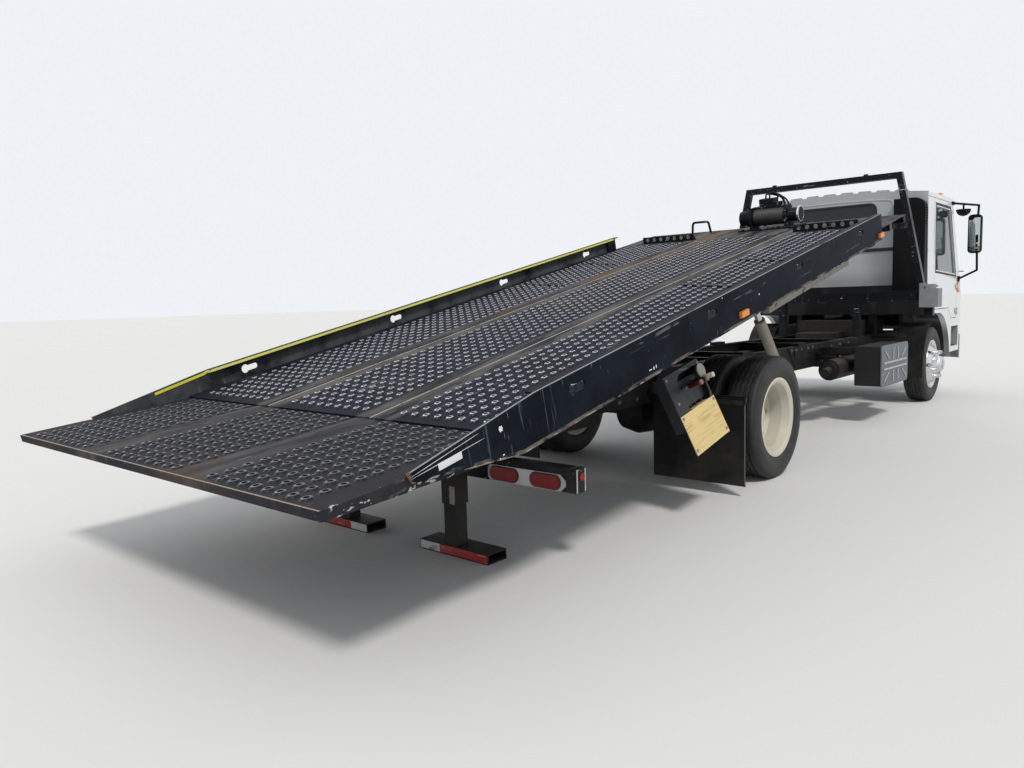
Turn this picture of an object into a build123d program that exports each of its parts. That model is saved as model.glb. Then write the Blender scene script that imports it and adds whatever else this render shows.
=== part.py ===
from build123d import *
import math
import os

os.makedirs("parts", exist_ok=True)

# A medium-duty flatbed recovery truck, cab over the front axle, with its bed tilted and slid partly back.
# Millimetres. X points to the truck's left, minus Y to its front, Z up.
# Everything is placed from the ground under the rear axle, and shift_y moves it to the middle of its length.

# Running gear
wheelbase = 4470
tyre_dia = 810
tyre_width = 225
rim_dia = 494
rim_flange = 15
rim_half = 88
disc_offset = 130
front_track = 1695
dual_spacing = 260
rear_outer_track = 1895
kingpin_x = 740
kingpin_radius = 20
running_gap = 0.05
seat_gap = 0.3
clearance = 6

# Main frame rails, channels that open inwards
rail_outer_x = 430
rail_flange = 70
rail_height = 210
rail_wall = 7
rail_top = 740
rail_front_y = -5440
rail_rear_y = 1620
cross_member_depth = 90
cross_member_y = (-5300, -3340, -2600, -1250, -640, 640, 1560)

# Cab
cab_back_y = -3955
cab_front_y = -5500
cab_half_width = 1000
cab_roof_half_width = 988
cab_side_top = 2215
cab_crown_top = 2268
roof_rib_pitch = 184
roof_rib_height = 17
roof_rib_front = -4720
cab_belt_z = 1300
cab_nose_z = 1160
cab_wall = 45
cab_floor_z = 845
cab_underside = 960
cab_front_bottom = 740
cab_back_bottom = 1270
cab_seam_z = (1600, 1628)
cab_hinge_y = -5400
cab_hinge_z = 720
hinge_pin_radius = 15
step_bottom = 500
step_inner_x = 620
arch_radius = 540
windshield_base_y = -5445
windshield_top_y = -4985
glass_thick = 6
glass_inset = 14
door_gap = 7
door_swing_room = 7
door_rear_y = -4225
door_front_y = -5275
door_top = 2125
door_bottom = (880, 1000)
door_hinge_x = 1011
door_hinge_y = -5272
door_hinge_z = (960, 1240)

bumper_ahead = 100
bumper_z = (400, 680)
floor_edge = -5010
step_well_y = (-5400, -5060)
step_well_z = (560, 790)
headlamp_x = (640, 900)
headlamp_z = (800, 960)
grille_half = 520
grille_z = (880, 1080)
windshield_z = (1345, 2130)
rear_window_half = 485
rear_window_z = (1690, 2135)
mirror_x = (-1235, -1100)
mirror_y = -5300
mirror_z = (1612, 2045)
mirror_arm_x = -1190
mirror_rod = 12
steering_x = 520
seat_z = 1300
seat_top = 1900

# Bed, measured in its own tilted frame from the knee where the deck meets the tail plate
bed_tilt = 12.356
knee_y = 2826
knee_z = 736
bed_width = 2450
bed_front = -5200
deck_thick = 6
lane_seam_x = 399
lane_front = -4580
seam_width = 14
seam_depth = 2
side_thick = 10
side_top = 114
side_bottom = -90
side_front = -4480
side_lip = 45
side_lip_thick = 8
side_tail_y = 560
side_tail_top = 62
tail_overlap = -60
tail_length = 897
tail_rise = 5.7
tail_edge = 34
tail_step = 12
plank_end = 35
side_cut = -110
sill_x = 430
sill_width = 70
cross_depth = 60
sill_bottom = -135
cross_pitch = 400
keyhole_first = 348
keyhole_pitch = 1200
keyhole_count = 4
keyhole_z = 47
keyhole_length = 112
keyhole_radius = 26
keyhole_slot = 34

# Engine under the cab
engine_y = (-4850, -3950)

# Tilt frame that the bed slides on
pivot_along = 1284
pivot_off = -195
pivot_radius = 25
tilt_rail_width = 76
tilt_rail_depth = 112
tilt_rear = -1160
tilt_front = -5000
tilt_cross_y = (-4930, -4000, -3000, -2100, -1300)
tilt_cross_depth = 62
slide_off = -120
slide_bore = 36
slide_barrel_y = (-4930, -1520)
slide_rod_y = (-3760, -335)

# Tilt cylinders, outside the main rails
ram_x = 512
ram_low_y = -1310
ram_low_z = 600
ram_high_y = -660
ram_high_z = 1295
ram_barrel_radius = 43
ram_rod_radius = 26

# Mud flaps behind the rear wheels
flap_outer_x = 1100
flap_y = 620
flap_thick = 12
flap_z = (70, 600)

# Stabilizer legs at the tail
leg_x = 415
leg_y = 2380
leg_outer = 90
leg_wall = 6
leg_tube_bottom = 250
leg_tube_top = 650
foot_x = leg_x + 24
foot_y = leg_y - 15
foot_width = 456
foot_depth = 130
foot_height = 50
foot_wall = 6
leg_travel = 190

# Lamp bar under the tail, and its oval lamps
bar_half = 1055
bar_y = (2186, 2258)
bar_z = (356, 466)
lamp_x = (634, 882)
lamp_z = 396
lamp_length = 172
lamp_height = 62

# Winch on the bed, off the middle, with its axle along X
winch_x = -121
winch_y = -5040
winch_z = 108
winch_half = 277
drum_half = 148
drum_flange = 80
drum_core = 52

# Wheel stops at the front of the outer lanes
stop_x = (470, 1000)
stop_y = (-4700, -4640)
stop_height = 64
stop_hole_pitch = 72
stop_hole_radius = 19
stop_hole_z = 37

# Rack behind the cab
rack_y = (-3700, -3630)
rack_top = 2395
rack_base = 1200
rack_tube = 60
rack_half = (1055, 815)

# Control consoles, on a plate that leans out towards its bottom edge
console_y = (-1765, -1388)
console_top = (1000, -252)
console_bottom = (1150, -666)
console_back = 916
console_depth = 64

# Gusset plate on the outside of each rail, as (Y, Z)
gusset = [(-1700, 736), (-2365, 736), (-2072, 550), (-1882, 550)]
gusset_thick = 8

# Battery box and muffler on the right side, fuel tank on the left
battery_x = (-1000, -755)
battery_y = (-3300, -2450)
battery_z = (345, 722)
muffler_x = -600
muffler_z = 510
muffler_y = (-3130, -2250)
muffler_radius = 95
fuel_x = (560, 960)
fuel_y = (-3300, -2250)
fuel_z = (250, 680)

sill_top = -deck_thick - cross_depth
tilt_rail_top = sill_bottom - seat_gap
tilt_rail_bottom = tilt_rail_top - tilt_rail_depth
wheel_radius = tyre_dia / 2
rim_radius = rim_dia / 2
tail_slope = math.radians(bed_tilt - tail_rise)
tail_end_y = knee_y + tail_length * math.cos(tail_slope)
bumper_front_y = cab_front_y - bumper_ahead
shift_y = -(tail_end_y + bumper_front_y) / 2
bed_place = Location((0, knee_y, knee_z), (-bed_tilt, 0, 0))
sin_tilt = math.sin(math.radians(bed_tilt))
cos_tilt = math.cos(math.radians(bed_tilt))
pivot_y = knee_y - pivot_along * cos_tilt + pivot_off * sin_tilt
pivot_z = knee_z + pivot_along * sin_tilt + pivot_off * cos_tilt
ram_back = ram_high_y - knee_y
ram_rise = ram_high_z - knee_z
ram_pin_along = ram_back * cos_tilt - ram_rise * sin_tilt
ram_pin_off = ram_back * sin_tilt + ram_rise * cos_tilt
knee_flat_z = pivot_z - pivot_off
rail_bottom = rail_top - rail_height
front_axle_y = -wheelbase
ear_x = sill_x + tilt_rail_width / 2 + clearance
hinge_ear_x = (305, 332)
hinge_lug_x = (338, 356)
roof_sag = cab_crown_top - cab_side_top
roof_radius = (cab_roof_half_width ** 2 + roof_sag ** 2) / (2 * roof_sag)
console_drop = console_top[1] - console_bottom[1]
console_out = console_bottom[0] - console_top[0]
console_length = math.hypot(console_out, console_drop)
console_lean = math.degrees(math.atan2(console_out, console_drop))
console_half = (console_y[1] - console_y[0]) / 2
console_middle = (console_y[0] + console_y[1]) / 2
console_place = Location((console_top[0], console_middle, console_top[1]), (0, -console_lean, 0))


def around(middle, half):
    return (middle - half, middle + half)


def block(x, y, z):
    middle = Pos((x[0] + x[1]) / 2, (y[0] + y[1]) / 2, (z[0] + z[1]) / 2)
    return middle * Box(x[1] - x[0], y[1] - y[0], z[1] - z[0])


def rod(start, end, radius):
    run = Vector(*end) - Vector(*start)
    base = Plane(origin=start, z_dir=run)
    return extrude(base * Circle(radius), amount=run.length)


def plate_x(points, x):
    face = make_face(Plane.YZ.offset(x[0]) * Polyline(*points, close=True))
    return extrude(face, amount=x[1] - x[0], dir=(1, 0, 0))


def plate_y(points, y):
    face = make_face([Edge.make_line((a[0], y[0], a[1]), (b[0], y[0], b[1]))
                      for a, b in zip(points, points[1:] + points[:1])])
    return extrude(face, amount=y[1] - y[0], dir=(0, 1, 0))


def oval(x, z, length, height, y):
    # a plate with round ends, lying in a plane across the truck
    middle = length / 2 - height / 2
    plate = block((x - middle, x + middle), y, (z - height / 2, z + height / 2))
    for end in (-middle, middle):
        plate += rod((x + end, y[0], z), (x + end, y[1], z), height / 2)
    return plate


def turned(points, x=0, y=0, z=0, flip=False):
    # Turns an outline of (along X, radius) pairs about a wheel's axle.
    if flip:
        points = [(-a, r) for a, r in points]
    face = make_face(Polyline(*points, close=True))
    return Pos(x, y, z) * revolve(face, axis=Axis.X)


def mirrored(piece):
    return mirror(piece, about=Plane.YZ)


def both(piece):
    return [piece, mirrored(piece)]


def save(name, *pieces):
    solids = [solid for piece in pieces for solid in piece.solids()]
    export_step(Compound(solids).moved(Location((0, shift_y, 0))), f"parts/{name}.step")


def save_bed(name, *pieces):
    save(name, *[piece.moved(bed_place) for piece in pieces])


def fused(pieces):
    whole = pieces[0]
    for piece in pieces[1:]:
        whole = whole + piece
    return whole


# Main frame
def rail():
    inner_x = rail_outer_x - rail_flange
    bottom = rail_bottom
    outline = [
        (rail_outer_x, bottom), (rail_outer_x, rail_top), (inner_x, rail_top),
        (inner_x, rail_top - rail_wall), (rail_outer_x - rail_wall, rail_top - rail_wall),
        (rail_outer_x - rail_wall, bottom + rail_wall), (inner_x, bottom + rail_wall), (inner_x, bottom)]
    return plate_y(outline, (rail_front_y, rail_rear_y))


def main_frame():
    web_x = rail_outer_x - rail_wall - seat_gap
    low = rail_bottom
    pieces = [rail()]
    members = []
    top = rail_top - rail_wall - seat_gap
    for y in cross_member_y:
        across = (-web_x, web_x)
        member = block(across, around(y, 35), (top - cross_member_depth, top))
        members.append(member - block(across, (y - 28, y + 36), (top - cross_member_depth + 7, top - 7)))
    # pads that the tilt frame comes down on
    pad_top = knee_flat_z + tilt_rail_bottom - 1
    flange = (rail_outer_x - rail_flange, rail_outer_x)
    for y in (-2050, -900, 400, 1250):
        pieces.append(block(flange, around(y, 90), (rail_top, pad_top)))
    # ears that carry the bed's pivot pins
    along = (pivot_y - 90, pivot_y + 60)
    pieces.append(block((rail_outer_x, ear_x + 20), along, (low + 20, rail_top - 8)))
    ear = block((ear_x, ear_x + 20), along, (rail_top - 8, pivot_z + 10))
    ear += Pos(ear_x + 10, pivot_y, pivot_z + 10) * Rot(0, 90, 0) * Cylinder(60, 20)
    ear -= rod((ear_x - 5, pivot_y, pivot_z), (ear_x + 30, pivot_y, pivot_z), pivot_radius + running_gap)
    pieces.append(ear)
    # brackets for the feet of the tilt cylinders
    foot = block((rail_outer_x, ram_x - 50), around(ram_low_y, 60), (low + 20, ram_low_z + 60))
    pin = rod((rail_outer_x, ram_low_y, ram_low_z), (ram_x + 50, ram_low_y, ram_low_z), 20)
    pieces.append(foot + pin)
    # ears and pin of the cab hinge
    along = (cab_hinge_y - 30, cab_hinge_y + 40)
    start = (hinge_ear_x[0] - 2, cab_hinge_y, cab_hinge_z)
    end = (hinge_lug_x[1] + 6, cab_hinge_y, cab_hinge_z)
    hinge = block((hinge_ear_x[0], flange[0]), along, (low, 660))
    hinge += block(hinge_ear_x, along, (low, cab_hinge_z + 25)) + rod(start, end, hinge_pin_radius)
    pieces.append(hinge)
    # posts that the back of the cab rests on
    post = block((rail_outer_x - 60, rail_outer_x), (-4250, -4170), (rail_top, cab_underside - seat_gap))
    pieces.append(post)
    plate = plate_x(gusset, (rail_outer_x - 1, rail_outer_x + gusset_thick))
    for share in (0.12, 0.37, 0.62, 0.87):
        y = gusset[1][0] + 50 + (gusset[2][0] - gusset[1][0]) * share
        z = gusset[1][1] + (gusset[2][1] - gusset[1][1]) * share
        plate -= rod((rail_outer_x + 0.5, y, z), (rail_outer_x + gusset_thick + 1, y, z), 13)
    plate -= rod((rail_outer_x + 0.5, -1830, 680), (rail_outer_x + gusset_thick + 1, -1830, 680), 30)
    pieces.append(plate)
    return both(fused(pieces)) + members


def leaf_spring(x, y, half_length, end_z, seat_z, thick, width):
    front, back = around(y, half_length)
    top = Edge.make_three_point_arc((x, front, end_z), (x, y, seat_z + thick), (x, back, end_z))
    low = Edge.make_three_point_arc((x, back, end_z - 16), (x, y, seat_z), (x, front, end_z - 16))
    ends = [Edge.make_line(low @ 1, top @ 0), Edge.make_line(top @ 1, low @ 0)]
    face = make_face([top, ends[1], low, ends[0]])
    spring = extrude(face, amount=width, dir=(1, 0, 0))
    for end in (-half_length, half_length):
        spring += Pos(x + width / 2, y + end, end_z - 8) * Rot(0, 90, 0) * Cylinder(24, width)
    return spring


def rear_springs():
    spring = leaf_spring(455, 0, 560, 590, 472, 56, 70)
    for end in (-560, 560):
        hanger = block((rail_outer_x + seat_gap, 454), around(end, 40), (560, 700))
        spring += hanger + block((454, 525), around(end, 36), (598, 640))
    for y in (-76, 76):
        bolt = rod((443, y, 322), (443, y, 560), 8) + rod((537, y, 322), (537, y, 560), 8)
        spring += bolt + block((432, 548), around(y, 11), (520, 545))
    spring += block((431, 549), (-92, 92), (312, wheel_radius - 75 - seat_gap))
    return both(spring)


def front_springs():
    spring = leaf_spring(362, front_axle_y, 620, 500, wheel_radius + 30 + seat_gap, 40, 64)
    for end in (-620, 620):
        spring += block((370, 418), around(front_axle_y + end, 22), (500, rail_bottom - seat_gap))
    return both(spring)


def rear_axle():
    axle = rod((-575, 0, wheel_radius), (575, 0, wheel_radius), 64)
    bowl = [(-150, 0), (-150, 80), (-110, 170), (0, 195), (110, 170), (150, 80), (150, 0)]
    axle += turned(bowl, 0, 0, wheel_radius)
    nose = Plane(origin=(0, -150, wheel_radius + 20), z_dir=(0, -1, 0))
    axle += extrude(nose * Circle(85), amount=90) + extrude(nose * Circle(55), amount=170)
    axle += rod((-700, 0, wheel_radius), (700, 0, wheel_radius), 45 - seat_gap)
    for side in both(block((450, 530), (-60, 60), (wheel_radius - 75, 471.5))):
        axle += side
    return axle


def front_axle():
    z = wheel_radius
    beam = [block((-600, 600), around(front_axle_y, 45), (z - 70, z - 55)),
            block((-600, 600), around(front_axle_y, 9), (z - 60, z + 15)),
            block((-600, 600), around(front_axle_y, 45), (z + 12, z + 30))]
    for side in both(block((590, kingpin_x), around(front_axle_y, 38), (z - 45, z + 30))):
        beam.append(side)
    for side in both(rod((kingpin_x, front_axle_y, z - 45), (kingpin_x, front_axle_y, z + 30), 45)):
        beam.append(side)
    axle = fused(beam)
    low, high = around(z, 60)
    bore = rod((kingpin_x, front_axle_y, low), (kingpin_x, front_axle_y, high), kingpin_radius + running_gap)
    for side in both(bore):
        axle -= side
    return axle


def knuckle():
    z = wheel_radius
    pin = rod((kingpin_x, front_axle_y, z - 75), (kingpin_x, front_axle_y, z + 60), kingpin_radius)
    yoke = rod((kingpin_x, front_axle_y, z - 75), (kingpin_x, front_axle_y, z - 46), 42)
    yoke += rod((kingpin_x, front_axle_y, z + 31), (kingpin_x, front_axle_y, z + 60), 42)
    yoke += block((kingpin_x + 46, kingpin_x + 62), around(front_axle_y, 50), (z - 75, z + 60))
    for low, high in ((z - 75, z - 46), (z + 31, z + 60)):
        yoke += block((kingpin_x, kingpin_x + 62), around(front_axle_y, 42), (low, high))
    spindle = rod((kingpin_x + 60, front_axle_y, z), (kingpin_x + 190, front_axle_y, z), 45 - seat_gap)
    arm = block((kingpin_x - 40, kingpin_x + 62), (front_axle_y + 30, front_axle_y + 60), (z - 75, z - 50))
    arm += block((kingpin_x - 40, kingpin_x), (front_axle_y + 30, front_axle_y + 200), (z - 75, z - 50))
    return fused([pin, yoke, spindle, arm])


# Wheels, each outline as (along the axle outwards, radius) from the tyre's middle
def tyre(x, y):
    half = tyre_width / 2
    bead = rim_radius
    top = bead + rim_flange + 1
    outline = [
        (-rim_half, bead), (-rim_half, top), (-100, top + 10), (-half, bead + 64), (-half + 3, bead + 108),
        (-96, wheel_radius - 14), (-82, wheel_radius), (82, wheel_radius), (96, wheel_radius - 14),
        (half - 3, bead + 108), (half, bead + 64), (100, top + 10), (rim_half, top), (rim_half, bead)]
    return turned(outline, x, y, wheel_radius)


def rim(x, y, flip):
    lip = rim_radius - seat_gap
    edge = rim_radius + rim_flange
    inner = rim_half + seat_gap
    outer = rim_half + 8
    disc = disc_offset
    outline = [
        (-outer, edge), (-inner, edge), (-inner, lip), (-84, lip), (-78, 236), (-30, 222), (60, 222),
        (78, 236), (84, lip), (inner, lip), (inner, edge), (outer, edge), (outer, 248), (90, 236),
        (84, 228), (66, 214), (88, 205), (disc, 165), (disc, 45), (disc - 12, 45), (disc - 12, 158),
        (76, 196), (52, 212), (-34, 212), (-84, 226), (-90, 234), (-outer, 248)]
    wheel = turned(outline, 0, 0, 0, flip)
    middle = (disc - 12 + 76) / 2
    hole = Pos(-middle if flip else middle, 0, 184) * Rot(0, 90, 0) * Cylinder(22, 90)
    for step in range(8):
        wheel -= Rot(45 * step, 0, 0) * hole
    return Pos(x, y, wheel_radius) * wheel


def nuts(x, y, length, count, pitch_radius, radius):
    ring = []
    for step in range(count):
        angle = math.radians(360 / count * (step + 0.5))
        across, up = (pitch_radius * math.cos(angle), pitch_radius * math.sin(angle))
        place = Pos(x + length / 2, y + across, wheel_radius + up)
        ring.append(place * Rot(0, 90, 0) * extrude(RegularPolygon(radius, 6), amount=length / 2, both=True))
    return ring


def front_wheel(x):
    disc_x = x + disc_offset
    hub = [(-150, 45), (-150, 165), (-12, 165), (-12, 160), (0, 160), (0, 108), (12, 104), (55, 84), (78, 60),
           (82, 0), (40, 0), (40, 45)]
    wheel = rim(x, front_axle_y, False) + turned(hub, disc_x, front_axle_y, wheel_radius)
    for nut in nuts(disc_x, front_axle_y, 52, 8, 137, 19):
        wheel += nut
    return wheel


def rear_wheels(x, inner_x):
    disc_x = x - disc_offset
    wheel = rim(x, 0, True) + rim(inner_x, 0, False)
    hub = [(585, 45), (585, 160), (disc_x - 60, 160), (disc_x - 12, 160), (disc_x + 12, 150),
           (disc_x + 12, 112), (disc_x + 90, 100), (disc_x + 96, 84), (disc_x + 104, 80), (disc_x + 104, 0),
           (705, 0), (705, 45)]
    wheel += turned(hub, 0, 0, wheel_radius)
    for nut in nuts(disc_x + 12, 0, 30, 8, 132, 18):
        wheel += nut
    return wheel


# Power train and the boxes hung on the rails
def engine():
    back = engine_y[1]
    heavy = block((-330, 330), engine_y, (560, 900)) + block((-230, 230), (back - 450, back), (450, 560))
    gearbox = block((-190, 190), (back, back + 450), (480, 780))
    return heavy + gearbox + block((-340, -300), (back - 550, back - 450), (600, 640))


def engine_mounts():
    mounts = []
    for y in (engine_y[0] + 150, engine_y[1] - 100):
        mounts += both(block((330, 423), around(y, 40), (rail_bottom + rail_wall, rail_bottom + 60)))
    return mounts


def driveshaft():
    start = (0, -3470 + seat_gap, 600)
    end = (0, -350 - seat_gap, wheel_radius + 20)
    tube = rod(start, end, 45)
    for y, z, way in ((start[1], start[2], -1), (end[1], end[2], 1)):
        tube += rod((0, y, z), (0, y + 30 * way, z), 65)
    return tube


def battery_box():
    face = battery_x[0]
    low, high = battery_z
    back, front = battery_y
    box = block((face + 16, battery_x[1]), (back + 12, front - 12), (low + 10, high - 8))
    cover = block((face + 6, face + 17), battery_y, battery_z)
    cover = fillet(cover.edges().filter_by(Axis.X), 45)
    # pressed ribs of the cover: two long ones across the middle, short ones beside them, one into each corner
    middle_z = (low + high) / 2
    middle_y = (back + front) / 2
    ribs = []
    for z in around(middle_z, 28):
        ribs.append(block((face, face + 7), (back + 60, front - 60), around(z, 9)))
    for y in around(middle_y, 75):
        ribs.append(block((face, face + 7), around(y, 9), (middle_z + 50, high - 30)))
        ribs.append(block((face, face + 7), around(y, 9), (low + 30, middle_z - 50)))
    for y, way in ((back + 70, 1), (front - 70, -1)):
        for z, rise in ((high - 50, -1), (low + 50, 1)):
            wide = 24 * way
            end = (y + 130 * way, z + 75 * rise)
            ribs.append(plate_x([(y, z), (y + wide, z), (end[0] + wide, end[1]), end], (face, face + 7)))
    for rib in ribs:
        cover += rib
    hangers = []
    for y in (back + 110, front - 110):
        hangers.append(block((battery_x[1] - 1, -rail_outer_x - seat_gap), around(y, 20), (640, 700)))
    return fused([box, cover] + hangers)


def fuel_tank():
    inner, outer = fuel_x
    back, front = fuel_y
    tank = block(fuel_x, fuel_y, fuel_z)
    tank = fillet(tank.edges().filter_by(Axis.Y), 70)
    for y in (back + 250, front - 250):
        tank += block((rail_outer_x + seat_gap, inner + 10), around(y, 25), (560, 720))
    cap = rod((outer - 20, front - 150, 600), (outer + 40, front - 150, 620), 45)
    return tank + cap


def muffler():
    back, front = muffler_y
    x, z = (muffler_x, muffler_z)
    can = rod((x, back, z), (x, front, z), muffler_radius)
    can += rod((x, back - 22, z), (x, front + 22, z), muffler_radius - 22)
    can += rod((x, front, z), (x, front + 110, z - 20), 38)
    elbow = (x, back - 130, z)
    pipe = rod(elbow, (x, back, z), 40)
    pipe += Pos(*elbow) * Sphere(40) + rod(elbow, (-300, back - 330, 440), 38)
    for y in (back + 140, front - 160):
        can += block((x, -rail_outer_x - seat_gap), around(y, 20), (z + 82, z + 112))
    return can + pipe


def air_tanks():
    # one on the left rail, and one in front of the battery box on the right
    tank = rod((600, -2080, 480), (600, -1450, 480), 110) + rod((600, -2100, 480), (600, -1430, 480), 85)
    for y, face in ((-1950, rail_outer_x + gusset_thick), (-1580, rail_outer_x)):
        tank += block((face + seat_gap, 600), around(y, 20), (580, 610))
    small = rod((-665, -3750, 365), (-665, -3240, 365), 78) + rod((-665, -3768, 365), (-665, -3222, 365), 60)
    for y in (-3650, -3380):
        small += block((-680, -650), around(y, 18), (430, 640))
        small += block((-680, -rail_outer_x - seat_gap), around(y, 18), (610, 640))
    return [tank, small]


def bumper():
    # a bent plate, as (half width, distance in front of the cab)
    side = cab_half_width
    half = [(side - 100, bumper_ahead), (side, 40), (side, 12), (side - 15, 12), (side - 15, 34),
            (side - 110, bumper_ahead - 15)]
    outline = [(-x, cab_front_y - ahead) for x, ahead in half]
    outline += [(x, cab_front_y - ahead) for x, ahead in half[::-1]]
    low, high = bumper_z
    face = make_face(Plane.XY.offset(low) * Polyline(*outline, close=True))
    bar = extrude(face, amount=high - low, dir=(0, 0, 1))
    bar -= block((-320, 320), (bumper_front_y - 100, cab_front_y), (low + 40, low + 120))
    for side in both(block((360, rail_outer_x), (bumper_front_y + 10, rail_front_y), (560, 640))):
        bar += side
    return bar


def front_guards():
    # a curved sheet behind each front wheel, on an arm from the rail
    outer = 500
    center = Pos(820, front_axle_y, wheel_radius)
    ring = center * Rot(0, 90, 0) * (Cylinder(outer, 300) - Cylinder(outer - 8, 301))
    guard = ring & block((669, 971), (front_axle_y + 60, front_axle_y + 520), (300, 860))
    arm = block((rail_outer_x + seat_gap, 940), (front_axle_y + 350, front_axle_y + 380), (700, 730))
    return both(guard + arm)


# Rack behind the cab, a trapezium of square tube on posts from the rails
def cab_rack():
    low, high = rack_half
    lean = (low - high) / (rack_top - rack_base)
    width = rack_tube / math.cos(math.atan(lean))
    inner_high = low - lean * (rack_top - rack_tube - rack_base) - width
    outer_face = [(-low, rack_base), (-high, rack_top), (high, rack_top), (low, rack_base)]
    under = rack_top - rack_tube
    opening = [(-low + width, rack_base - 5), (-inner_high, under), (inner_high, under),
               (low - width, rack_base - 5)]
    rack = plate_y(outer_face, rack_y) - plate_y(opening, (rack_y[0] - 5, rack_y[1] + 5))
    rack += block((-1180, 1180), rack_y, (rack_base - 90, rack_base))
    for side in both(block((rail_outer_x - rail_flange, rail_outer_x), rack_y, (rail_top, rack_base - 90))):
        rack += side
    # end brackets, with two fins standing on each
    bracket = block((1010, 1180), (rack_y[0] - 60, rack_y[1] + 30), (1040, 1225))
    bracket += block((1050, 1130), rack_y, (960, 1040))
    for x in (1062, 1120):
        bracket += block((x, x + 8), (rack_y[0] - 50, rack_y[1] + 20), (1225, 1268))
    for side in both(bracket):
        rack += side
    for x in (-465, 500):
        rack += block(around(x, 18), (rack_y[0] + 15, rack_y[1] - 15), (rack_top, rack_top + 17))
    return rack


# Tail frame: beams under the rails, stabilizer tubes and the lamp bar
def tail_frame():
    beam = block((360, 420), (1150, leg_y - leg_outer / 2), (466, rail_bottom))
    pieces = both(beam)
    half = leg_outer / 2
    tube = block(around(leg_x, half), around(leg_y, half), (leg_tube_bottom, leg_tube_top))
    bore = half - leg_wall
    tube -= block(around(leg_x, bore), around(leg_y, bore), (leg_tube_bottom - 5, leg_tube_top - 12))
    pieces += both(tube)
    pieces.append(block((-leg_x + half, leg_x - half), around(leg_y, 45), (466, 556)))
    return fused(pieces)


def lamp_bar():
    bar = block((-bar_half, bar_half), bar_y, bar_z)
    bar -= block((-bar_half + 6, bar_half - 6), (bar_y[0] - 5, bar_y[1] - 6), (bar_z[0] + 6, bar_z[1] - 6))
    for x in lamp_x:
        for side in (-1, 1):
            bar -= oval(side * x, lamp_z, lamp_length, lamp_height, (bar_y[1] - 10, bar_y[1] + 5))
    return bar


def lamp_frames():
    # light plates round the lamps, their outer corners cut off
    frames = []
    face = (bar_y[1] + seat_gap, bar_y[1] + 5)
    low, high = around(lamp_z, 39)
    first, last = (lamp_x[0] - 104, lamp_x[1] + 116)
    outline = [(first, low + 14), (first + 14, low), (last - 30, low), (last, low + 26), (last, high - 26),
               (last - 30, high), (first + 14, high), (first, high - 14)]
    plate = plate_y(outline, face)
    for x in lamp_x:
        plate -= oval(x, lamp_z, lamp_length, lamp_height, (face[0] - 5, face[1] + 5))
    frames += both(plate)
    return frames


def tail_lamps():
    lamps = []
    play = 2 * seat_gap
    for x in lamp_x:
        lens = oval(x, lamp_z, lamp_length - play, lamp_height - play, (bar_y[1] - 16, bar_y[1] + 10))
        lamps += both(lens)
    lamps += both(rod((bar_half + seat_gap, 2222, 428), (bar_half + 9, 2222, 428), 17))
    return lamps


def mud_flaps():
    y = flap_y
    flap = block((rail_outer_x + 50, flap_outer_x), (y, y + flap_thick), flap_z)
    bracket = block((rail_outer_x + seat_gap, flap_outer_x), (y - 15, y), (flap_z[1] - 25, flap_z[1] + 10))
    return both(flap + bracket)


# Stabilizer legs
def stabilizer():
    half = leg_outer / 2 - leg_wall - seat_gap
    top = leg_tube_top - 12 - leg_travel - 8
    leg = block(around(leg_x, half), around(leg_y, half), (foot_height, top))
    # the foot is a piece of flat box tube, open at its ends
    depth = foot_depth / 2
    foot = block(around(foot_x, foot_width / 2), around(foot_y, depth), (0, foot_height))
    hollow = (foot_wall, foot_height - foot_wall)
    foot -= block(around(foot_x, foot_width), around(foot_y, depth - foot_wall), hollow)
    return leg + foot


# Cab
def cab_outline(inset):
    step = math.radians(171.5)
    radius = arch_radius
    center_z = cab_underside - radius
    end = (front_axle_y + radius * math.cos(step), center_z + radius * math.sin(step))
    mid_angle = (math.radians(90) + step) / 2
    middle = (front_axle_y + radius * math.cos(mid_angle), center_z + radius * math.sin(mid_angle))
    points = [end, (end[0], step_bottom), (cab_front_y + 50, step_bottom),
              (cab_front_y + 40, cab_front_bottom), (cab_front_y, cab_front_bottom),
              (cab_front_y, cab_nose_z), (windshield_base_y, cab_belt_z),
              (windshield_top_y, cab_crown_top), (cab_back_y, cab_crown_top), (cab_back_y, cab_back_bottom),
              (cab_back_y - 175, cab_underside), (front_axle_y, cab_underside)]
    edges = [Edge.make_line((0, *a), (0, *b)) for a, b in zip(points, points[1:]) if a != b]
    edges.append(Edge.make_three_point_arc((0, *points[-1]), (0, *middle), (0, *end)))
    face = make_face(edges)
    if inset:
        face = offset(face, -inset, kind=Kind.INTERSECTION)
    return extrude(face, amount=2 * cab_half_width, both=True, dir=(1, 0, 0))


def cab_section(inset):
    side = cab_half_width - inset
    top = cab_roof_half_width - inset
    edges = [
        Edge.make_line((-side, 0, 300), (side, 0, 300)),
        Edge.make_line((side, 0, 300), (side, 0, cab_belt_z)),
        Edge.make_line((side, 0, cab_belt_z), (top, 0, cab_side_top - inset)),
        Edge.make_three_point_arc((top, 0, cab_side_top - inset), (0, 0, cab_crown_top - inset),
                                  (-top, 0, cab_side_top - inset)),
        Edge.make_line((-top, 0, cab_side_top - inset), (-side, 0, cab_belt_z)),
        Edge.make_line((-side, 0, cab_belt_z), (-side, 0, 300))]
    return extrude(make_face(edges), amount=8000, both=True, dir=(0, 1, 0))


def cab_form(inset):
    return cab_outline(inset) & cab_section(inset)


def side_window(grow):
    outline = [(door_rear_y - 75 + grow, 1420 - grow), (door_rear_y - 75 + grow, 2085 + grow),
               (-4905 - grow, 2085 + grow), (-5185 - grow, 1385 - grow)]
    return outline


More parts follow.
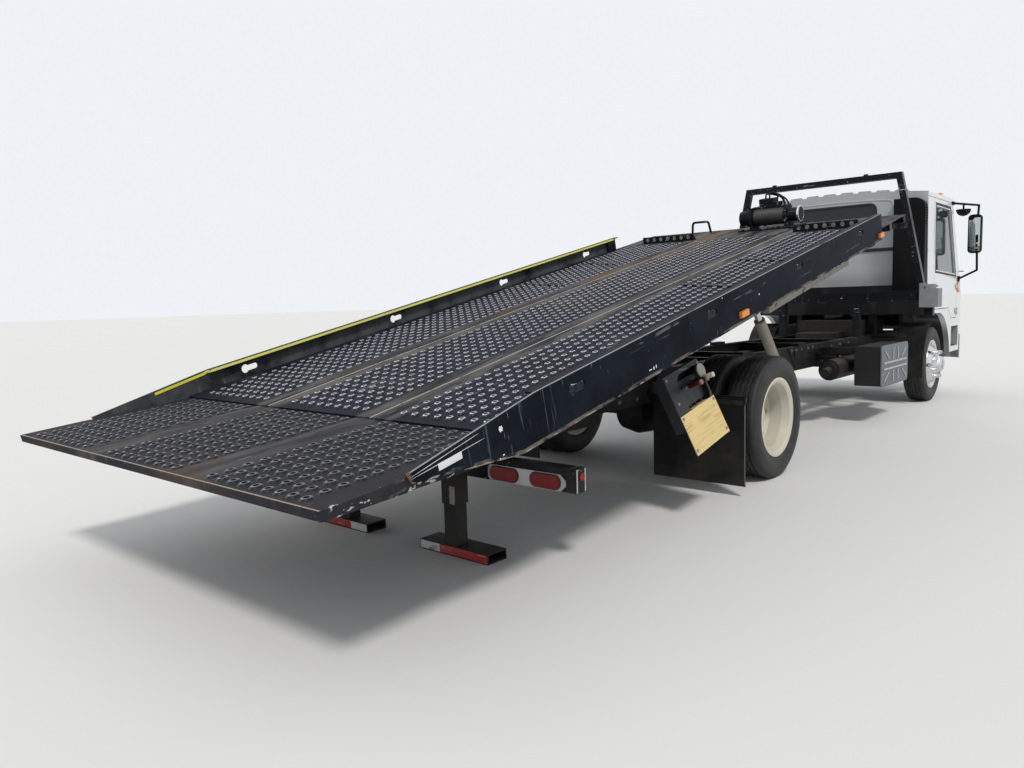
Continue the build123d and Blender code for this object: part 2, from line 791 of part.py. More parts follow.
def door_outline(gap):
    # the inner edge of a thick door moves rearwards as it opens, so its sloping lower edge stands further off
    room = door_swing_room if gap else 0
    low, high = (door_bottom[0] + gap, door_bottom[1] + gap)
    return [(door_rear_y - gap, high), (door_rear_y - gap, door_top - gap), (-4945 + gap, door_top - gap),
            (door_front_y + gap, 1330), (door_front_y + gap, low), (-5040 - room, low), (-4900 - room, high)]


def windshield_cut(grow):
    low, high = (windshield_z[0] - grow, windshield_z[1] + grow)
    outline = [(-880 - grow, low), (880 + grow, low), (850 + grow, high), (-850 - grow, high)]
    return plate_y(outline, (bumper_front_y, windshield_top_y + 85))


def rear_window_cut(grow):
    half = rear_window_half + grow
    low, high = rear_window_z
    return block((-half, half), (cab_back_y - 100, cab_back_y + 50), (low - grow, high + grow))


def cab_shell(outer, cavity):
    side = cab_half_width - 10
    cavity = cavity & block((-side, side), (cab_front_y, cab_back_y + 55), (cab_floor_z, cab_crown_top + 130))
    shell = outer - cavity
    # raised floor over the engine, open underneath
    tunnel = (-step_inner_x, step_inner_x)
    shell += block(around(0, step_inner_x + cab_wall), (floor_edge - cab_wall, front_axle_y + 70),
                   (cab_floor_z, cab_underside + cab_wall))
    shell -= block(tunnel, (cab_front_y + 30, floor_edge), (400, cab_floor_z - cab_wall))
    shell -= block(tunnel, (floor_edge - 1, cab_back_y + 10), (400, cab_underside))
    # step wells below the doors
    for side in both(block((step_inner_x + 120, cab_half_width + 5), step_well_y, step_well_z)):
        shell -= side
    for side in both(plate_x(door_outline(0), (900, 1010))):
        shell -= side
    shell -= windshield_cut(0)
    shell -= rear_window_cut(0)
    # headlamp pockets
    for side in both(block(headlamp_x, (cab_front_y - 20, cab_front_y + 30), headlamp_z)):
        shell -= side
    # grille opening
    shell -= block((-grille_half, grille_half), (cab_front_y - 20, cab_front_y + 60), grille_z)
    # ribs pressed into the back half of the roof, which follow its crown
    for step in range(-4, 5):
        x = roof_rib_pitch * step
        outline = []
        for shift, rise in ((-78, -6), (-58, roof_rib_height), (58, roof_rib_height), (78, -6)):
            crown = cab_crown_top - roof_radius + math.sqrt(roof_radius ** 2 - (x + shift) ** 2)
            outline.append((x + shift, crown + rise))
        shell += plate_y(outline, (cab_back_y, roof_rib_front))
    # seam between the upper and the lower back panel
    shell -= block((-cab_half_width - 5, cab_half_width + 5), (cab_back_y - 10, cab_back_y + 5), cab_seam_z)
    leaf = (cab_half_width - 4, door_hinge_x)
    for z in door_hinge_z:
        hinge = rod((door_hinge_x, door_hinge_y, z - 36), (door_hinge_x, door_hinge_y, z + 36), 4)
        for low, high in ((z - 36, z - 20 - seat_gap), (z + 20 + seat_gap, z + 36)):
            hinge += rod((door_hinge_x, door_hinge_y, low), (door_hinge_x, door_hinge_y, high), 10)
            hinge += block(leaf, (door_hinge_y - 50, door_hinge_y), (low, high))
        for side in both(hinge):
            shell += side
    for side in both(block(hinge_lug_x, around(cab_hinge_y, 35), (cab_hinge_z - 30, cab_floor_z - 20))):
        shell += side
    start = (hinge_lug_x[0] - 9, cab_hinge_y, cab_hinge_z)
    end = (hinge_lug_x[1] + 9, cab_hinge_y, cab_hinge_z)
    for side in both(rod(start, end, hinge_pin_radius + running_gap)):
        shell -= side
    return shell


def doors(outer, cavity):
    wall = outer - cavity
    panel = wall & plate_x(door_outline(door_gap), (cab_half_width - 90, cab_half_width + 10))
    panel -= plate_x(side_window(0), (900, 1010))
    panel -= block((cab_half_width - 16, cab_half_width + 5), (-4400, -4290), (1196, 1260))
    panel += block((cab_half_width - 20, cab_half_width + 3), (-4405, -4285), (1222, 1240))
    x, y = (door_hinge_x, door_hinge_y)
    for z in door_hinge_z:
        panel += block((cab_half_width - 4, x), (y, y + 60), around(z, 20))
        panel += rod((x, y, z - 20), (x, y, z + 20), 10)
        panel -= rod((x, y, z - 30), (x, y, z + 30), 4 + running_gap)
    return both(panel)


def glazing(outer_glass, inner_glass):
    sheet = outer_glass - inner_glass
    front = sheet & windshield_cut(-seat_gap)
    back = sheet & rear_window_cut(-seat_gap)
    side = sheet & plate_x(side_window(-seat_gap), (900, 1010))
    return front, back, both(side)


def seats():
    pieces = []
    # each seat as (middle along X, half width)
    y = cab_back_y - 315
    for x, half in ((steering_x, 250), (-430, 400)):
        across = (x - half, x + half)
        base = block(across, (y - 480, y + 20), (cab_wall + cab_underside + seat_gap, seat_z - 120))
        cushion = block(across, (y - 530, y), (seat_z - 120, seat_z))
        back = [(y, seat_z - 120), (y - 120, seat_z - 120), (y + 30, seat_top), (y + 140, seat_top)]
        cushion = fillet(cushion.edges().filter_by(Axis.Y), 40)
        pieces.append(base + cushion + plate_x(back, across))
    return pieces


def dashboard():
    back = cab_front_y + cab_wall + seat_gap
    front = cab_front_y
    outline = [(back, 1000), (front + 350, 1000), (front + 380, 1180), (front + 320, 1290),
               (front + 105, 1290), (back, 1140)]
    return plate_x(outline, (50 - cab_half_width, cab_half_width - 50))


def steering_wheel():
    place = Location((steering_x, cab_front_y + 490, 1330), (-60, 0, 0))
    rim_ring = Torus(205, 15)
    hub = Cylinder(45, 40) + Box(400, 36, 16) + Pos(0, -100, 0) * Box(36, 190, 16)
    column = Pos(0, 0, -110) * Cylinder(24, 200)
    return (rim_ring + hub + column).moved(place)


def air_intake():
    y = (cab_back_y + seat_gap, cab_back_y + 110)
    face = block((-990, -690), y, (1215, 2150))
    corner = face.edges().filter_by(Axis.Y).group_by(Axis.Z)[-1].sort_by(Axis.X)[0]
    duct = fillet(corner, 110)
    # slots on the outer side
    for step in range(8):
        z = 1880 + 26 * step
        duct -= block((-1000, -975), (y[0] + 25, y[1] - 20), (z, z + 13))
    duct -= block((-972, -712), (y[0] + 20, y[1] - 20), (1210, 1700))
    return duct


def mirror_set():
    # the long mirror on its arms, and a small bowl-shaped one that looks down
    low, high = mirror_z
    y = mirror_y
    head = block(mirror_x, (y - 30, y + 35), mirror_z)
    head = fillet(head.edges().filter_by(Axis.Y), 40)
    top_foot = (-1003, y + 300, high + 120)
    elbow = (mirror_arm_x, y - 40, high + 105)
    low_elbow = (mirror_arm_x, y - 30, low - 192)
    arm = block((-1010, -989.2), around(top_foot[1], 30), around(top_foot[2], 18))
    arm += rod(top_foot, elbow, mirror_rod) + Pos(*elbow) * Sphere(mirror_rod)
    arm += rod(elbow, (mirror_arm_x, y, high - 20), mirror_rod)
    arm += rod((mirror_arm_x, y, low + 18), low_elbow, mirror_rod) + Pos(*low_elbow) * Sphere(mirror_rod)
    arm += rod(low_elbow, (-1008, y - 30, 1330), mirror_rod)
    arm += block((-1016, -cab_half_width - seat_gap), (y - 60, y), (1300, 1360))
    bowl_x, bowl_y, bowl_z = (-1075, y + 164, high + 55)
    bowl = Pos(bowl_x, bowl_y, bowl_z) * Sphere(75)
    bowl -= block(around(bowl_x, 125), (bowl_y - 114, bowl_y + 136), (bowl_z, bowl_z + 200))
    bowl += rod((bowl_x, bowl_y, bowl_z - 10), (bowl_x, bowl_y, bowl_z + 72), 10)
    return head + arm + bowl


def headlamps():
    room = 4
    x = (headlamp_x[0] + room, headlamp_x[1] - room)
    z = (headlamp_z[0] + room, headlamp_z[1] - room)
    lamp = block(x, (cab_front_y - 12, cab_front_y + 30 - seat_gap), z)
    return both(fillet(lamp.edges().filter_by(Axis.Y), 20))


def grille():
    half = grille_half - seat_gap
    low, high = grille_z
    y = (cab_front_y + 5, cab_front_y + 25)
    bars = block((-half, half), y, (low + seat_gap, low + 10))
    bars += block((-half, half), y, (high - 10, high - seat_gap))
    for side in both(block((half - 14, half), y, (low + 5, high - 5))):
        bars += side
    for step in range(1, 6):
        z = low + 1 + 33 * step
        bars += block((-half, half), (y[0] - 2, y[1] + 2), around(z, 7))
    return bars


# Tilt frame in the bed's own tilted frame
def tilt_frame():
    x = (sill_x - tilt_rail_width / 2, sill_x + tilt_rail_width / 2)
    z = (tilt_rail_bottom, tilt_rail_top)
    pieces = both(block(x, (tilt_front, tilt_rear), z))
    for y in tilt_cross_y:
        pieces.append(block((-x[0], x[0]), around(y, 35), (z[0], z[0] + tilt_cross_depth)))
    pin_end = ear_x + 24
    pieces += both(rod((x[1] - 2, -pivot_along, pivot_off), (pin_end, -pivot_along, pivot_off), pivot_radius))
    # lugs for the tilt cylinders
    lug = block((x[1] - 2, x[1] + 14), around(ram_pin_along, 45), (ram_pin_off - 40, z[1] - 10))
    pieces += both(lug)
    # arms of the control consoles
    arm = block((x[1] - 2, console_back - 10), (console_y[1] - 90, console_y[1] - 40), (z[0] + 10, z[0] + 60))
    drop = block((console_back - 20, console_back - seat_gap), (console_y[1] - 90, console_y[1] - 40),
                 (console_top[1] - 100, z[0] + 60))
    pieces += both(arm + drop)
    return fused(pieces)


def consoles():
    # a leaning face plate with an open corner and folded returns, with valves, their handles and a lamp
    face = block((0, 5), (-console_half, console_half), (-console_length, 0))
    opening = block((-5, 10), (-console_half + 14, console_half - 108), (-console_length * 0.53, -24))
    opening = fillet(opening.edges().filter_by(Axis.X), 55)
    face -= opening
    case_low = -console_length * 0.7
    case = block((-console_depth, 1), (-console_half, console_half), (case_low, 0))
    case -= block((-console_depth + 4, 2), (-console_half + 4, console_half - 4), (case_low + 4, 5))
    valves = block((-console_depth + 3, -22), (-console_half + 30, console_half - 130), (-205, -62))
    levers = []
    for step in range(3):
        y = console_half - 168 - 66 * step
        levers.append(rod((-30, y, -104), (26, y, -104), 7) + rod((24, y, -104), (108, y, -104), 14))
    lamp = rod((-30, -console_half + 62, -62), (34, -console_half + 62, -62), 10)
    lamp += rod((16, -console_half + 62, -62), (42, -console_half + 62, -62), 38)
    console = fused([face, case, valves, lamp] + levers).moved(console_place)
    lug = block((console_back, console_top[0] - console_depth + 18), (console_y[1] - 90, console_y[1] - 40),
                (console_top[1] - 100, console_top[1] - 40))
    return both(console + lug)


def console_plates():
    # the plain gold plate over the lower half of each face, folded in at its top
    top = -console_length * 0.51
    plate = block((5 + seat_gap, 9), (-console_half, console_half), (-console_length - 4, top))
    plate += block((-48, 9), (-console_half + 58, console_half - 152), (top - 5, top))
    return both(plate.moved(console_place))


def slide_barrel():
    back, front = slide_barrel_y
    barrel = rod((0, back, slide_off), (0, front, slide_off), slide_bore + 8)
    barrel -= rod((0, back + 30, slide_off), (0, front + 20, slide_off), slide_bore)
    for y in (back + 40,) + tilt_cross_y[1:-1]:
        low = tilt_rail_bottom + tilt_cross_depth + seat_gap
        barrel += block((-30, 30), around(y, 20), (low, slide_off - 38))
    return barrel


def slide_rod():
    back, front = slide_rod_y
    bar = rod((0, back, slide_off), (0, front, slide_off), slide_bore - 6)
    bar += rod((0, back, slide_off), (0, back + 40, slide_off), slide_bore - seat_gap)
    bar += block((-30, 30), (front - 50, front), (slide_off - 38, sill_top - seat_gap))
    return bar


# Bed
def bed_frame():
    # two sills under the deck, and pressed cross members seated on them
    sill_x_span = (sill_x - sill_width / 2, sill_x + sill_width / 2)
    pieces = both(block(sill_x_span, (bed_front + 10 + seat_gap, -60 - seat_gap), (sill_bottom, sill_top)))
    end = bed_width / 2 - side_thick - seat_gap
    low = sill_top + seat_gap
    high = -deck_thick - seat_gap
    y = bed_front + 40
    while y < -200:
        member = block((-end, end), around(y, 25), (low, high))
        member -= block((-end + 4, end - 4), (y - 19, y + 26), (low + 6, high - 6))
        pieces.append(member)
        y += cross_pitch
    return pieces


def tail_profile():
    # the tail plate starts a step below the planks and rises to its tip
    rise = math.radians(tail_rise)
    tip = (tail_length * math.cos(rise), tail_length * math.sin(rise))
    return [(0, -tail_step), tip, (tip[0], tip[1] - tail_edge), (0, -85), (-60, -85), (-60, -deck_thick)]


def bed_deck():
    inner = bed_width / 2 - side_thick
    plate = block((-inner, inner), (bed_front, 0), (-deck_thick, 0))
    plate += block((-inner, inner), (-60, plank_end), (-tail_step, 0))
    # the deck is three planks, with a sunk seam between them and one across in front of them
    half_seam = seam_width / 2
    for x in (-lane_seam_x, lane_seam_x):
        plate -= block((x - half_seam, x + half_seam), (lane_front, plank_end + 1), (-seam_depth, 1))
    plate -= block((-inner, inner), (lane_front - half_seam, lane_front + half_seam), (-seam_depth, 1))
    tail = plate_x(tail_profile(), (-bed_width / 2, bed_width / 2))
    tail -= block((-bed_width / 2 - 1, -inner), (-100, 570), (-100, 200))
    tail -= block((inner, bed_width / 2 + 1), (-100, 570), (-100, 200))
    front = block((-bed_width / 2, bed_width / 2), (bed_front, bed_front + 10), (-115, -deck_thick))
    front -= block((-110, 110), (bed_front - 5, bed_front + 15), (-120, sill_top))
    return plate + tail + front


def side_rail():
    outer_x = bed_width / 2
    inner_x = outer_x - side_thick
    outline = [(side_front, side_bottom), (side_front, side_top), (side_cut, side_top),
               (side_tail_y, side_tail_top), (side_tail_y - 15, side_tail_top - 38), (0, side_bottom)]
    plate = plate_x(outline, (inner_x, outer_x))
    lip_x = (outer_x - side_lip, inner_x)
    lip = block(lip_x, (side_front, side_cut), (side_top - side_lip_thick, side_top))
    lip += block(lip_x, (side_front, tail_overlap - seat_gap), (side_bottom, side_bottom + side_lip_thick))
    plate += lip
    for step in range(keyhole_count):
        y = -keyhole_first - keyhole_pitch * step
        through = (outer_x - 30, outer_x + 5)
        end = y - keyhole_length + keyhole_radius + keyhole_slot / 2
        plate -= rod((through[0], y, keyhole_z), (through[1], y, keyhole_z), keyhole_radius)
        plate -= rod((through[0], end, keyhole_z), (through[1], end, keyhole_z), keyhole_slot / 2)
        plate -= block(through, (end, y), around(keyhole_z, keyhole_slot / 2))
    return plate


def side_bars():
    # a bar hung under each edge of the bed
    bar = block((1090, 1130), (-3970, -2490), (-178, -138))
    for y in (-3950, -3160, -2760):
        bar += block((1090, 1130), around(y, 20), (-138, sill_top - seat_gap))
    return both(bar)


def wheel_stops():
    # angle bars with a row of round holes in the standing side
    front, back = stop_y
    wall = 8
    stop = block(stop_x, stop_y, (seat_gap, wall))
    stop += block(stop_x, (back - wall, back), (seat_gap, stop_height))
    for x in (stop_x[0], stop_x[1] - wall):
        stop += plate_x([(front, wall), (back - wall, wall), (back - wall, stop_height - 4)], (x, x + wall))
    for step in range(7):
        x = (stop_x[0] + stop_x[1]) / 2 + stop_hole_pitch * (step - 3)
        stop -= rod((x, back - 15, stop_hole_z), (x, back + 5, stop_hole_z), stop_hole_radius)
    return both(stop)


def winch():
    y, z = winch_y, winch_z
    start = drum_half + 4
    base = block((-winch_half, winch_half), around(y, 110), (seat_gap, 14))
    end_plate = [(y - 95, 10), (y - 95, 150), (y - 60, 200), (y + 50, 200), (y + 90, 120), (y + 90, 10)]
    ends = both(plate_x(end_plate, (start, start + 18)))
    motor = rod((-start, y, z), (-winch_half + 6, y, z), 60)
    motor += rod((-winch_half + 16, y, z), (-winch_half, y, z), 72)
    gear = rod((start, y, z), (start + 60, y, z), 82) + rod((start, y, z), (winch_half, y, z), 66)
    across = around(0, start + 2)
    ties = [block(across, (y - 92, y - 76), (150, 170)), block(across, (y - 76, y + 20), (188, 200))]
    valves = block((-40, 96), (y - 70, y + 10), (198, 268)) + block((-96, -40), (y - 60, y), (198, 232))
    whole = fused([base, motor, gear, valves] + ends + ties)
    whole -= rod((-drum_half - 60, y, z), (drum_half + 60, y, z), 30 + running_gap)
    return Pos(winch_x, 0, 0) * whole


def winch_drum():
    flange = drum_half - 8
    outline = [(-drum_half, 0), (-drum_half, drum_flange), (-flange, drum_flange), (-flange, drum_core),
               (flange, drum_core), (flange, drum_flange), (drum_half, drum_flange), (drum_half, 0)]
    drum = turned(outline, 0, winch_y, winch_z)
    shaft = drum_half + 55
    drum += rod((-shaft, winch_y, winch_z), (shaft, winch_y, winch_z), 30)
    return Pos(winch_x, 0, 0) * drum


def grab_loop():
    # a bent bar on the left of the winch, its legs splayed
    y = bed_front + 95
    outer_x = bed_width / 2 - 508
    inner_x = outer_x - 204
    corner = 26
    points = [(outer_x, y, -20), (outer_x - 20, y, 108), (inner_x + 20, y, 108), (inner_x, y, -20)]
    path = FilletPolyline(*points, radius=corner)
    loop = sweep(Plane(origin=path @ 0, z_dir=path % 0) * Circle(11), path=path)
    return loop - block((inner_x - 40, outer_x + 40), around(y, 40), (-60, seat_gap))


def side_markers():
    lamps = []
    for y, z in ((-1925, -38), (-4430, -45)):
        lamps += both(block((bed_width / 2 + seat_gap, bed_width / 2 + 18), around(y, 45), around(z, 16)))
    return lamps


# Tilt cylinders
def tilt_barrels():
    run = Vector(0, ram_high_y - ram_low_y, ram_high_z - ram_low_z)
    way = run.normalized()
    start = Vector(ram_x, ram_low_y, ram_low_z)
    barrel = rod(tuple(start + way * 30), tuple(start + way * 560), ram_barrel_radius)
    barrel += rod((ram_x - 38, ram_low_y, ram_low_z), (ram_x + 38, ram_low_y, ram_low_z), 42)
    barrel -= rod(tuple(start + way * 60), tuple(start + way * 570), ram_rod_radius + seat_gap)
    barrel -= rod((ram_x - 60, ram_low_y, ram_low_z), (ram_x + 60, ram_low_y, ram_low_z), 20 + running_gap)
    return both(barrel)


def tilt_rods():
    run = Vector(0, ram_high_y - ram_low_y, ram_high_z - ram_low_z)
    way = run.normalized()
    end = Vector(ram_x, ram_high_y, ram_high_z)
    bar = rod(tuple(end - way * 520), tuple(end), ram_rod_radius)
    bar += rod((ram_x - 14, ram_high_y, ram_high_z), (ram_x + 30, ram_high_y, ram_high_z), 38)
    return both(bar)


outer = cab_form(0)
cavity = cab_form(cab_wall)
front_x = front_track / 2
outer_x = rear_outer_track / 2
inner_x = outer_x - dual_spacing

save("frame_rails", *main_frame())
save("rear_springs", *rear_springs())
save("front_springs", *front_springs())
save("rear_axle", rear_axle())
save("front_axle", front_axle())
save("engine_block", engine(), *engine_mounts())
save("driveshaft", driveshaft())
save("battery_box", battery_box())
save("fuel_tank", fuel_tank())
save("muffler", muffler())
save("air_tank", *air_tanks())
save("bumper", bumper())
save("front_guards", *front_guards())
save("cab_rack", cab_rack())
save("tail_frame", tail_frame())
save("lamp_bar", lamp_bar())
save("lamp_frames", *lamp_frames())
save("tail_lamps", *tail_lamps())
save("mud_flaps", *mud_flaps())
save("stabilizer_left", stabilizer())
save("stabilizer_right", mirrored(stabilizer()))
for side, hand in (("left", lambda piece: piece), ("right", mirrored)):
    save(f"knuckle_{side}", hand(knuckle()))
    save(f"tyre_front_{side}", hand(tyre(front_x, front_axle_y)))
    save(f"rim_front_{side}", hand(front_wheel(front_x)))
    save(f"tyres_rear_{side}", hand(tyre(outer_x, 0)), hand(tyre(inner_x, 0)))
    save(f"rims_rear_{side}", hand(rear_wheels(outer_x, inner_x)))

front_glass, back_glass, side_glass = glazing(cab_form(glass_inset), cab_form(glass_inset + glass_thick))
door_pair = doors(outer, cavity)
save("cab_shell", cab_shell(outer, cavity))
save("cab_glass", front_glass, back_glass)
save("seats", *seats())
save("dashboard", dashboard())
save("steering_wheel", steering_wheel() - dashboard())
save("air_intake", air_intake())
save("cab_mirrors", *both(mirror_set()))
save("headlamps", *headlamps())
save("grille", grille())
for number, side in enumerate(("left", "right")):
    save(f"door_{side}", door_pair[number])
    save(f"door_glass_{side}", side_glass[number])

save_bed("tilt_frame", tilt_frame())
save_bed("control_consoles", *consoles())
save_bed("console_plates", *console_plates())
save_bed("slide_barrel", slide_barrel())
save_bed("slide_rod", slide_rod())
save_bed("bed_frame", *bed_frame())
save_bed("bed_deck", bed_deck())
save_bed("side_rails", *both(side_rail()))
save_bed("side_bars", *side_bars())
save_bed("wheel_stops", *wheel_stops())
save_bed("winch", winch())
save_bed("winch_drum", winch_drum())
save_bed("grab_loop", grab_loop())
save_bed("side_markers", *side_markers())
save("tilt_barrels", *tilt_barrels())
save("tilt_rods", *tilt_rods())
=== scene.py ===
import math

import bmesh
import bpy
from mathutils import Matrix, Vector


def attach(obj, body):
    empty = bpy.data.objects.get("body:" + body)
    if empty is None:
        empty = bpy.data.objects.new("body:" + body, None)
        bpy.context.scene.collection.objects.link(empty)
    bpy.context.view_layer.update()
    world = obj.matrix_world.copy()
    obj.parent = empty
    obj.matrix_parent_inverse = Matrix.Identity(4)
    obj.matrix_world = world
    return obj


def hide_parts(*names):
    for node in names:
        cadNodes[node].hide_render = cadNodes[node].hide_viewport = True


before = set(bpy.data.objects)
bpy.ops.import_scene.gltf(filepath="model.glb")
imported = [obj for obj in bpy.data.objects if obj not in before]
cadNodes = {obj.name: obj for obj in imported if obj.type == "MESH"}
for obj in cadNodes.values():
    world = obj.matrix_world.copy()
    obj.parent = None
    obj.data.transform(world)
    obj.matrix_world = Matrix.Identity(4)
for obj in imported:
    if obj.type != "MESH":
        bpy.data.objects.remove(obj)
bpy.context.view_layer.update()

# Metres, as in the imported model: the rear axle lies at axleY, and the deck bends into its tail plate at the knee
truck = {"axleY": 0.94152, "wheelBase": 4.47, "kneeY": 3.76752, "kneeZ": 0.736, "bedTilt": 12.356,
         "tyreRadius": 0.405, "frontX": 0.8475, "rearOuterX": 0.9475, "rearInnerX": 0.6875, "railTop": 0.114}
bedTurn = math.radians(truck["bedTilt"])
knee = (0, truck["kneeY"], truck["kneeZ"])
bedAlong = (0, math.cos(bedTurn), -math.sin(bedTurn))
bedUp = (0, math.sin(bedTurn), math.cos(bedTurn))
bedPlace = Matrix.Translation(knee) @ Matrix.Rotation(-bedTurn, 4, "X")
flat = Matrix.Identity(4)
flipX = Matrix.Diagonal((-1, 1, 1, 1))
across, along, up = (1, 0, 0), (0, 1, 0), (0, 0, 1)
sides = (("left", 1), ("right", -1))
print("frame loaded:", len(cadNodes), "nodes")


def fromAxle(*places):
    # places along the truck, given from its rear axle
    shifted = tuple(truck["axleY"] + y for y in places)
    return shifted if len(shifted) > 1 else shifted[0]


def span(low, high, hand=1):
    # the same stretch on the truck's left or right
    return (low, high) if hand > 0 else (-high, -low)


def around(count, offset=0.0):
    # the angles of one full turn in equal steps
    return [2 * math.pi * (step + offset) / count for step in range(count)]


def grey(tone):
    return (tone, tone, tone)


def shade(color, amount):
    return tuple(min(1.0, part * amount) for part in color)


class Signal:
    # a socket, so that sums on it become Math nodes
    def __init__(self, nodes, socket):
        self.nodes = nodes
        self.socket = socket

    def join(self, operation, first, second):
        return self.nodes.node("ShaderNodeMath", {"operation": operation}, {0: first, 1: second})

    def __add__(self, other):
        return self.join("ADD", self, other)

    def __radd__(self, other):
        return self.join("ADD", other, self)

    def __sub__(self, other):
        return self.join("SUBTRACT", self, other)

    def __rsub__(self, other):
        return self.join("SUBTRACT", other, self)

    def __mul__(self, other):
        return self.join("MULTIPLY", self, other)

    def __rmul__(self, other):
        return self.join("MULTIPLY", other, self)

    def __abs__(self):
        return self.join("ABSOLUTE", self, 0.0)


class Nodes:
    # the nodes of a finish or of the sky
    def __init__(self, owner):
        owner.use_nodes = True
        self.tree = owner.node_tree
        self.tree.nodes.clear()

    def node(self, kind, settings=None, values=None, out=0):
        new = self.tree.nodes.new(kind)
        for key, value in (settings or {}).items():
            setattr(new, key, value)
        for key, value in (values or {}).items():
            socket = new.inputs[key]
            if isinstance(value, Signal):
                self.tree.links.new(value.socket, socket)
            elif socket.type == "RGBA" and len(value) == 3:
                socket.default_value = (*value, 1)
            else:
                socket.default_value = value
        return Signal(self, new.outputs[out]) if new.outputs else None

    def higher(self, first, second):
        return self.node("ShaderNodeMath", {"operation": "MAXIMUM"}, {0: first, 1: second})


# every finish that is ready, by its name
made = {}


class Finish(Nodes):
    def __init__(self, name, onBed=False):
        self.material = bpy.data.materials.new(name)
        super().__init__(self.material)
        self.truckPlace = self.node("ShaderNodeTexCoord", out="Object")
        self.place = self.truckPlace
        if onBed:
            self.place = self.node("ShaderNodeVectorRotate", {"rotation_type": "X_AXIS"},
                                   {"Vector": self.truckPlace, "Angle": bedTurn})
        self.facing = self.node("ShaderNodeTexCoord", out="Normal")

    def vector(self, operation, first, second=(0, 0, 0), out="Vector"):
        return self.node("ShaderNodeVectorMath", {"operation": operation}, {0: first, 1: second}, out)

    def reach(self, direction, origin=None):
        # how far a spot lies along a direction, in the truck's frame or from an origin
        spot = self.vector("SUBTRACT", self.truckPlace, origin) if origin else self.truckPlace
        return self.vector("DOT_PRODUCT", spot, direction, "Value")

    def faces(self, direction):
        # one where the surface faces along the direction
        return self.vector("DOT_PRODUCT", self.facing, direction, "Value")

    def radius(self, middle=(0, 0, 0)):
        # how far a spot lies from an axis along X
        spot = self.vector("MULTIPLY", self.vector("SUBTRACT", self.place, middle), (0, 1, 1))
        return self.vector("LENGTH", spot, out="Value")

    def noise(self, size, detail=4.0, stretch=None, roughness=0.6):
        spot = self.vector("MULTIPLY", self.place, stretch) if stretch else self.place
        return self.node("ShaderNodeTexNoise", {}, {"Vector": spot, "Scale": 1 / size, "Detail": detail,
                                                    "Roughness": roughness})

    def between(self, value, low, high):
        return self.node("ShaderNodeMapRange", {"clamp": True, "interpolation_type": "SMOOTHSTEP"},
                         {"Value": value, "From Min": low, "From Max": high})

    def patches(self, low, high, *noise):
        # one where the noise is over high, fading out down to low
        return self.between(self.noise(*noise), low, high)

    def near(self, value, middle, half, blur=0.001):
        # one where the value lies within half of the middle
        return self.between(abs(value - middle), half + blur, half)

    def repeat(self, value, pitch):
        # how far the value lies from the nearest multiple of the pitch
        return self.node("ShaderNodeMath", {"operation": "PINGPONG"}, {0: value, 1: pitch / 2})

    def tint(self, factor, first, second):
        return self.node("ShaderNodeMix", {"data_type": "RGBA"}, {0: factor, 6: first, 7: second}, 2)

    def close(self, values, height=None, depth=0.001):
        if height is not None:
            values["Normal"] = self.node("ShaderNodeBump", {}, {"Height": height, "Distance": depth})
        shader = self.node("ShaderNodeBsdfPrincipled", {}, values)
        self.node("ShaderNodeOutputMaterial", {}, {"Surface": shader})
        made[self.material.name] = self.material


# What lies over a paint or metal: a mask from 0 to 1, and its own colour and gloss
roadDust = (0.15, 0.138, 0.115)
rustBrown = (0.13, 0.060, 0.030)
wornSteel = grey(0.42)
nearBlack = (0.008, 0.008, 0.009)


def coat(color, rough, metal=0.0):
    return {"color": color, "rough": rough, "metal": metal}


def dust(top, low=0.5, height=1.1, color=roadDust, size=0.25):
    # on what faces up, and on what is lower than the height
    def mask(f):
        lying = f.between(f.faces(up), 0.3, 0.95) * top
        thrown = f.between(f.reach(up), height, 0.2) * low
        return f.patches(0.3, 0.72, size, 5) * (lying + thrown)
    return mask, coat(color, 0.9)


def rust(amount, size=0.12):
    def mask(f):
        return f.patches(1 - amount, 1.06 - amount, size, 6, None, 0.72)
    return mask, coat(rustBrown, 0.88)


def scratches(start, stretch=(1, 0.03, 1), color=wornSteel, size=0.02, rough=0.45, metal=0.6):
    def mask(f):
        return f.patches(start, start + 0.03, size, 2, stretch, 0.5) * f.patches(0.45, 0.6, 0.18, 3)
    return mask, coat(color, rough, metal)


def chips(color, size=0.03):
    def mask(f):
        cells = f.node("ShaderNodeTexVoronoi", {}, {"Vector": f.place, "Scale": 1 / size}, "Distance")
        return f.between(cells, 0.12, 0.06) * f.patches(0.56, 0.62, 0.07, 2)
    return mask, coat(color, 0.5)


def look(color, rough, *layers, **other):
    return {"color": color, "rough": rough, "layers": layers, "metal": 0.0, "vary": 0.12, "patch": 0.5,
            "grain": 0.004, "bump": 0.5, "dimple": 0.0, "dimpleDepth": 2.0, "depth": 0.0006, "gloss": 0.5,
            "clearCoat": 0.0, "onBed": False, **other}


def layered(name, base, more=None, relief=None):
    f = Finish(name, base["onBed"])
    grain = f.noise(base["grain"], 5)
    patch = f.patches(0.3, 0.7, base["patch"], 3)
    color = f.tint(patch, shade(base["color"], 1 - base["vary"]), shade(base["color"], 1 + base["vary"]))
    rough = base["rough"] - 0.06 + patch * 0.06 + grain * 0.12
    metal = base["metal"]
    layers = [(mask(f), over) for mask, over in base["layers"]]
    if more:
        layers += more(f)
    for mask, over in layers:
        color = f.tint(mask, color, over["color"])
        rough = rough + mask * (over["rough"] - base["rough"])
        if over["metal"] != base["metal"]:
            metal = metal + mask * (over["metal"] - base["metal"])
    height = grain * base["bump"]
    if base["dimple"]:
        height = height + f.noise(base["dimple"], 2) * base["dimpleDepth"]
    if relief:
        height = height + relief(f)
    f.close({"Base Color": color, "Roughness": rough, "Metallic": metal, "Coat Weight": base["clearCoat"],
             "Specular IOR Level": base["gloss"]}, height, base["depth"])


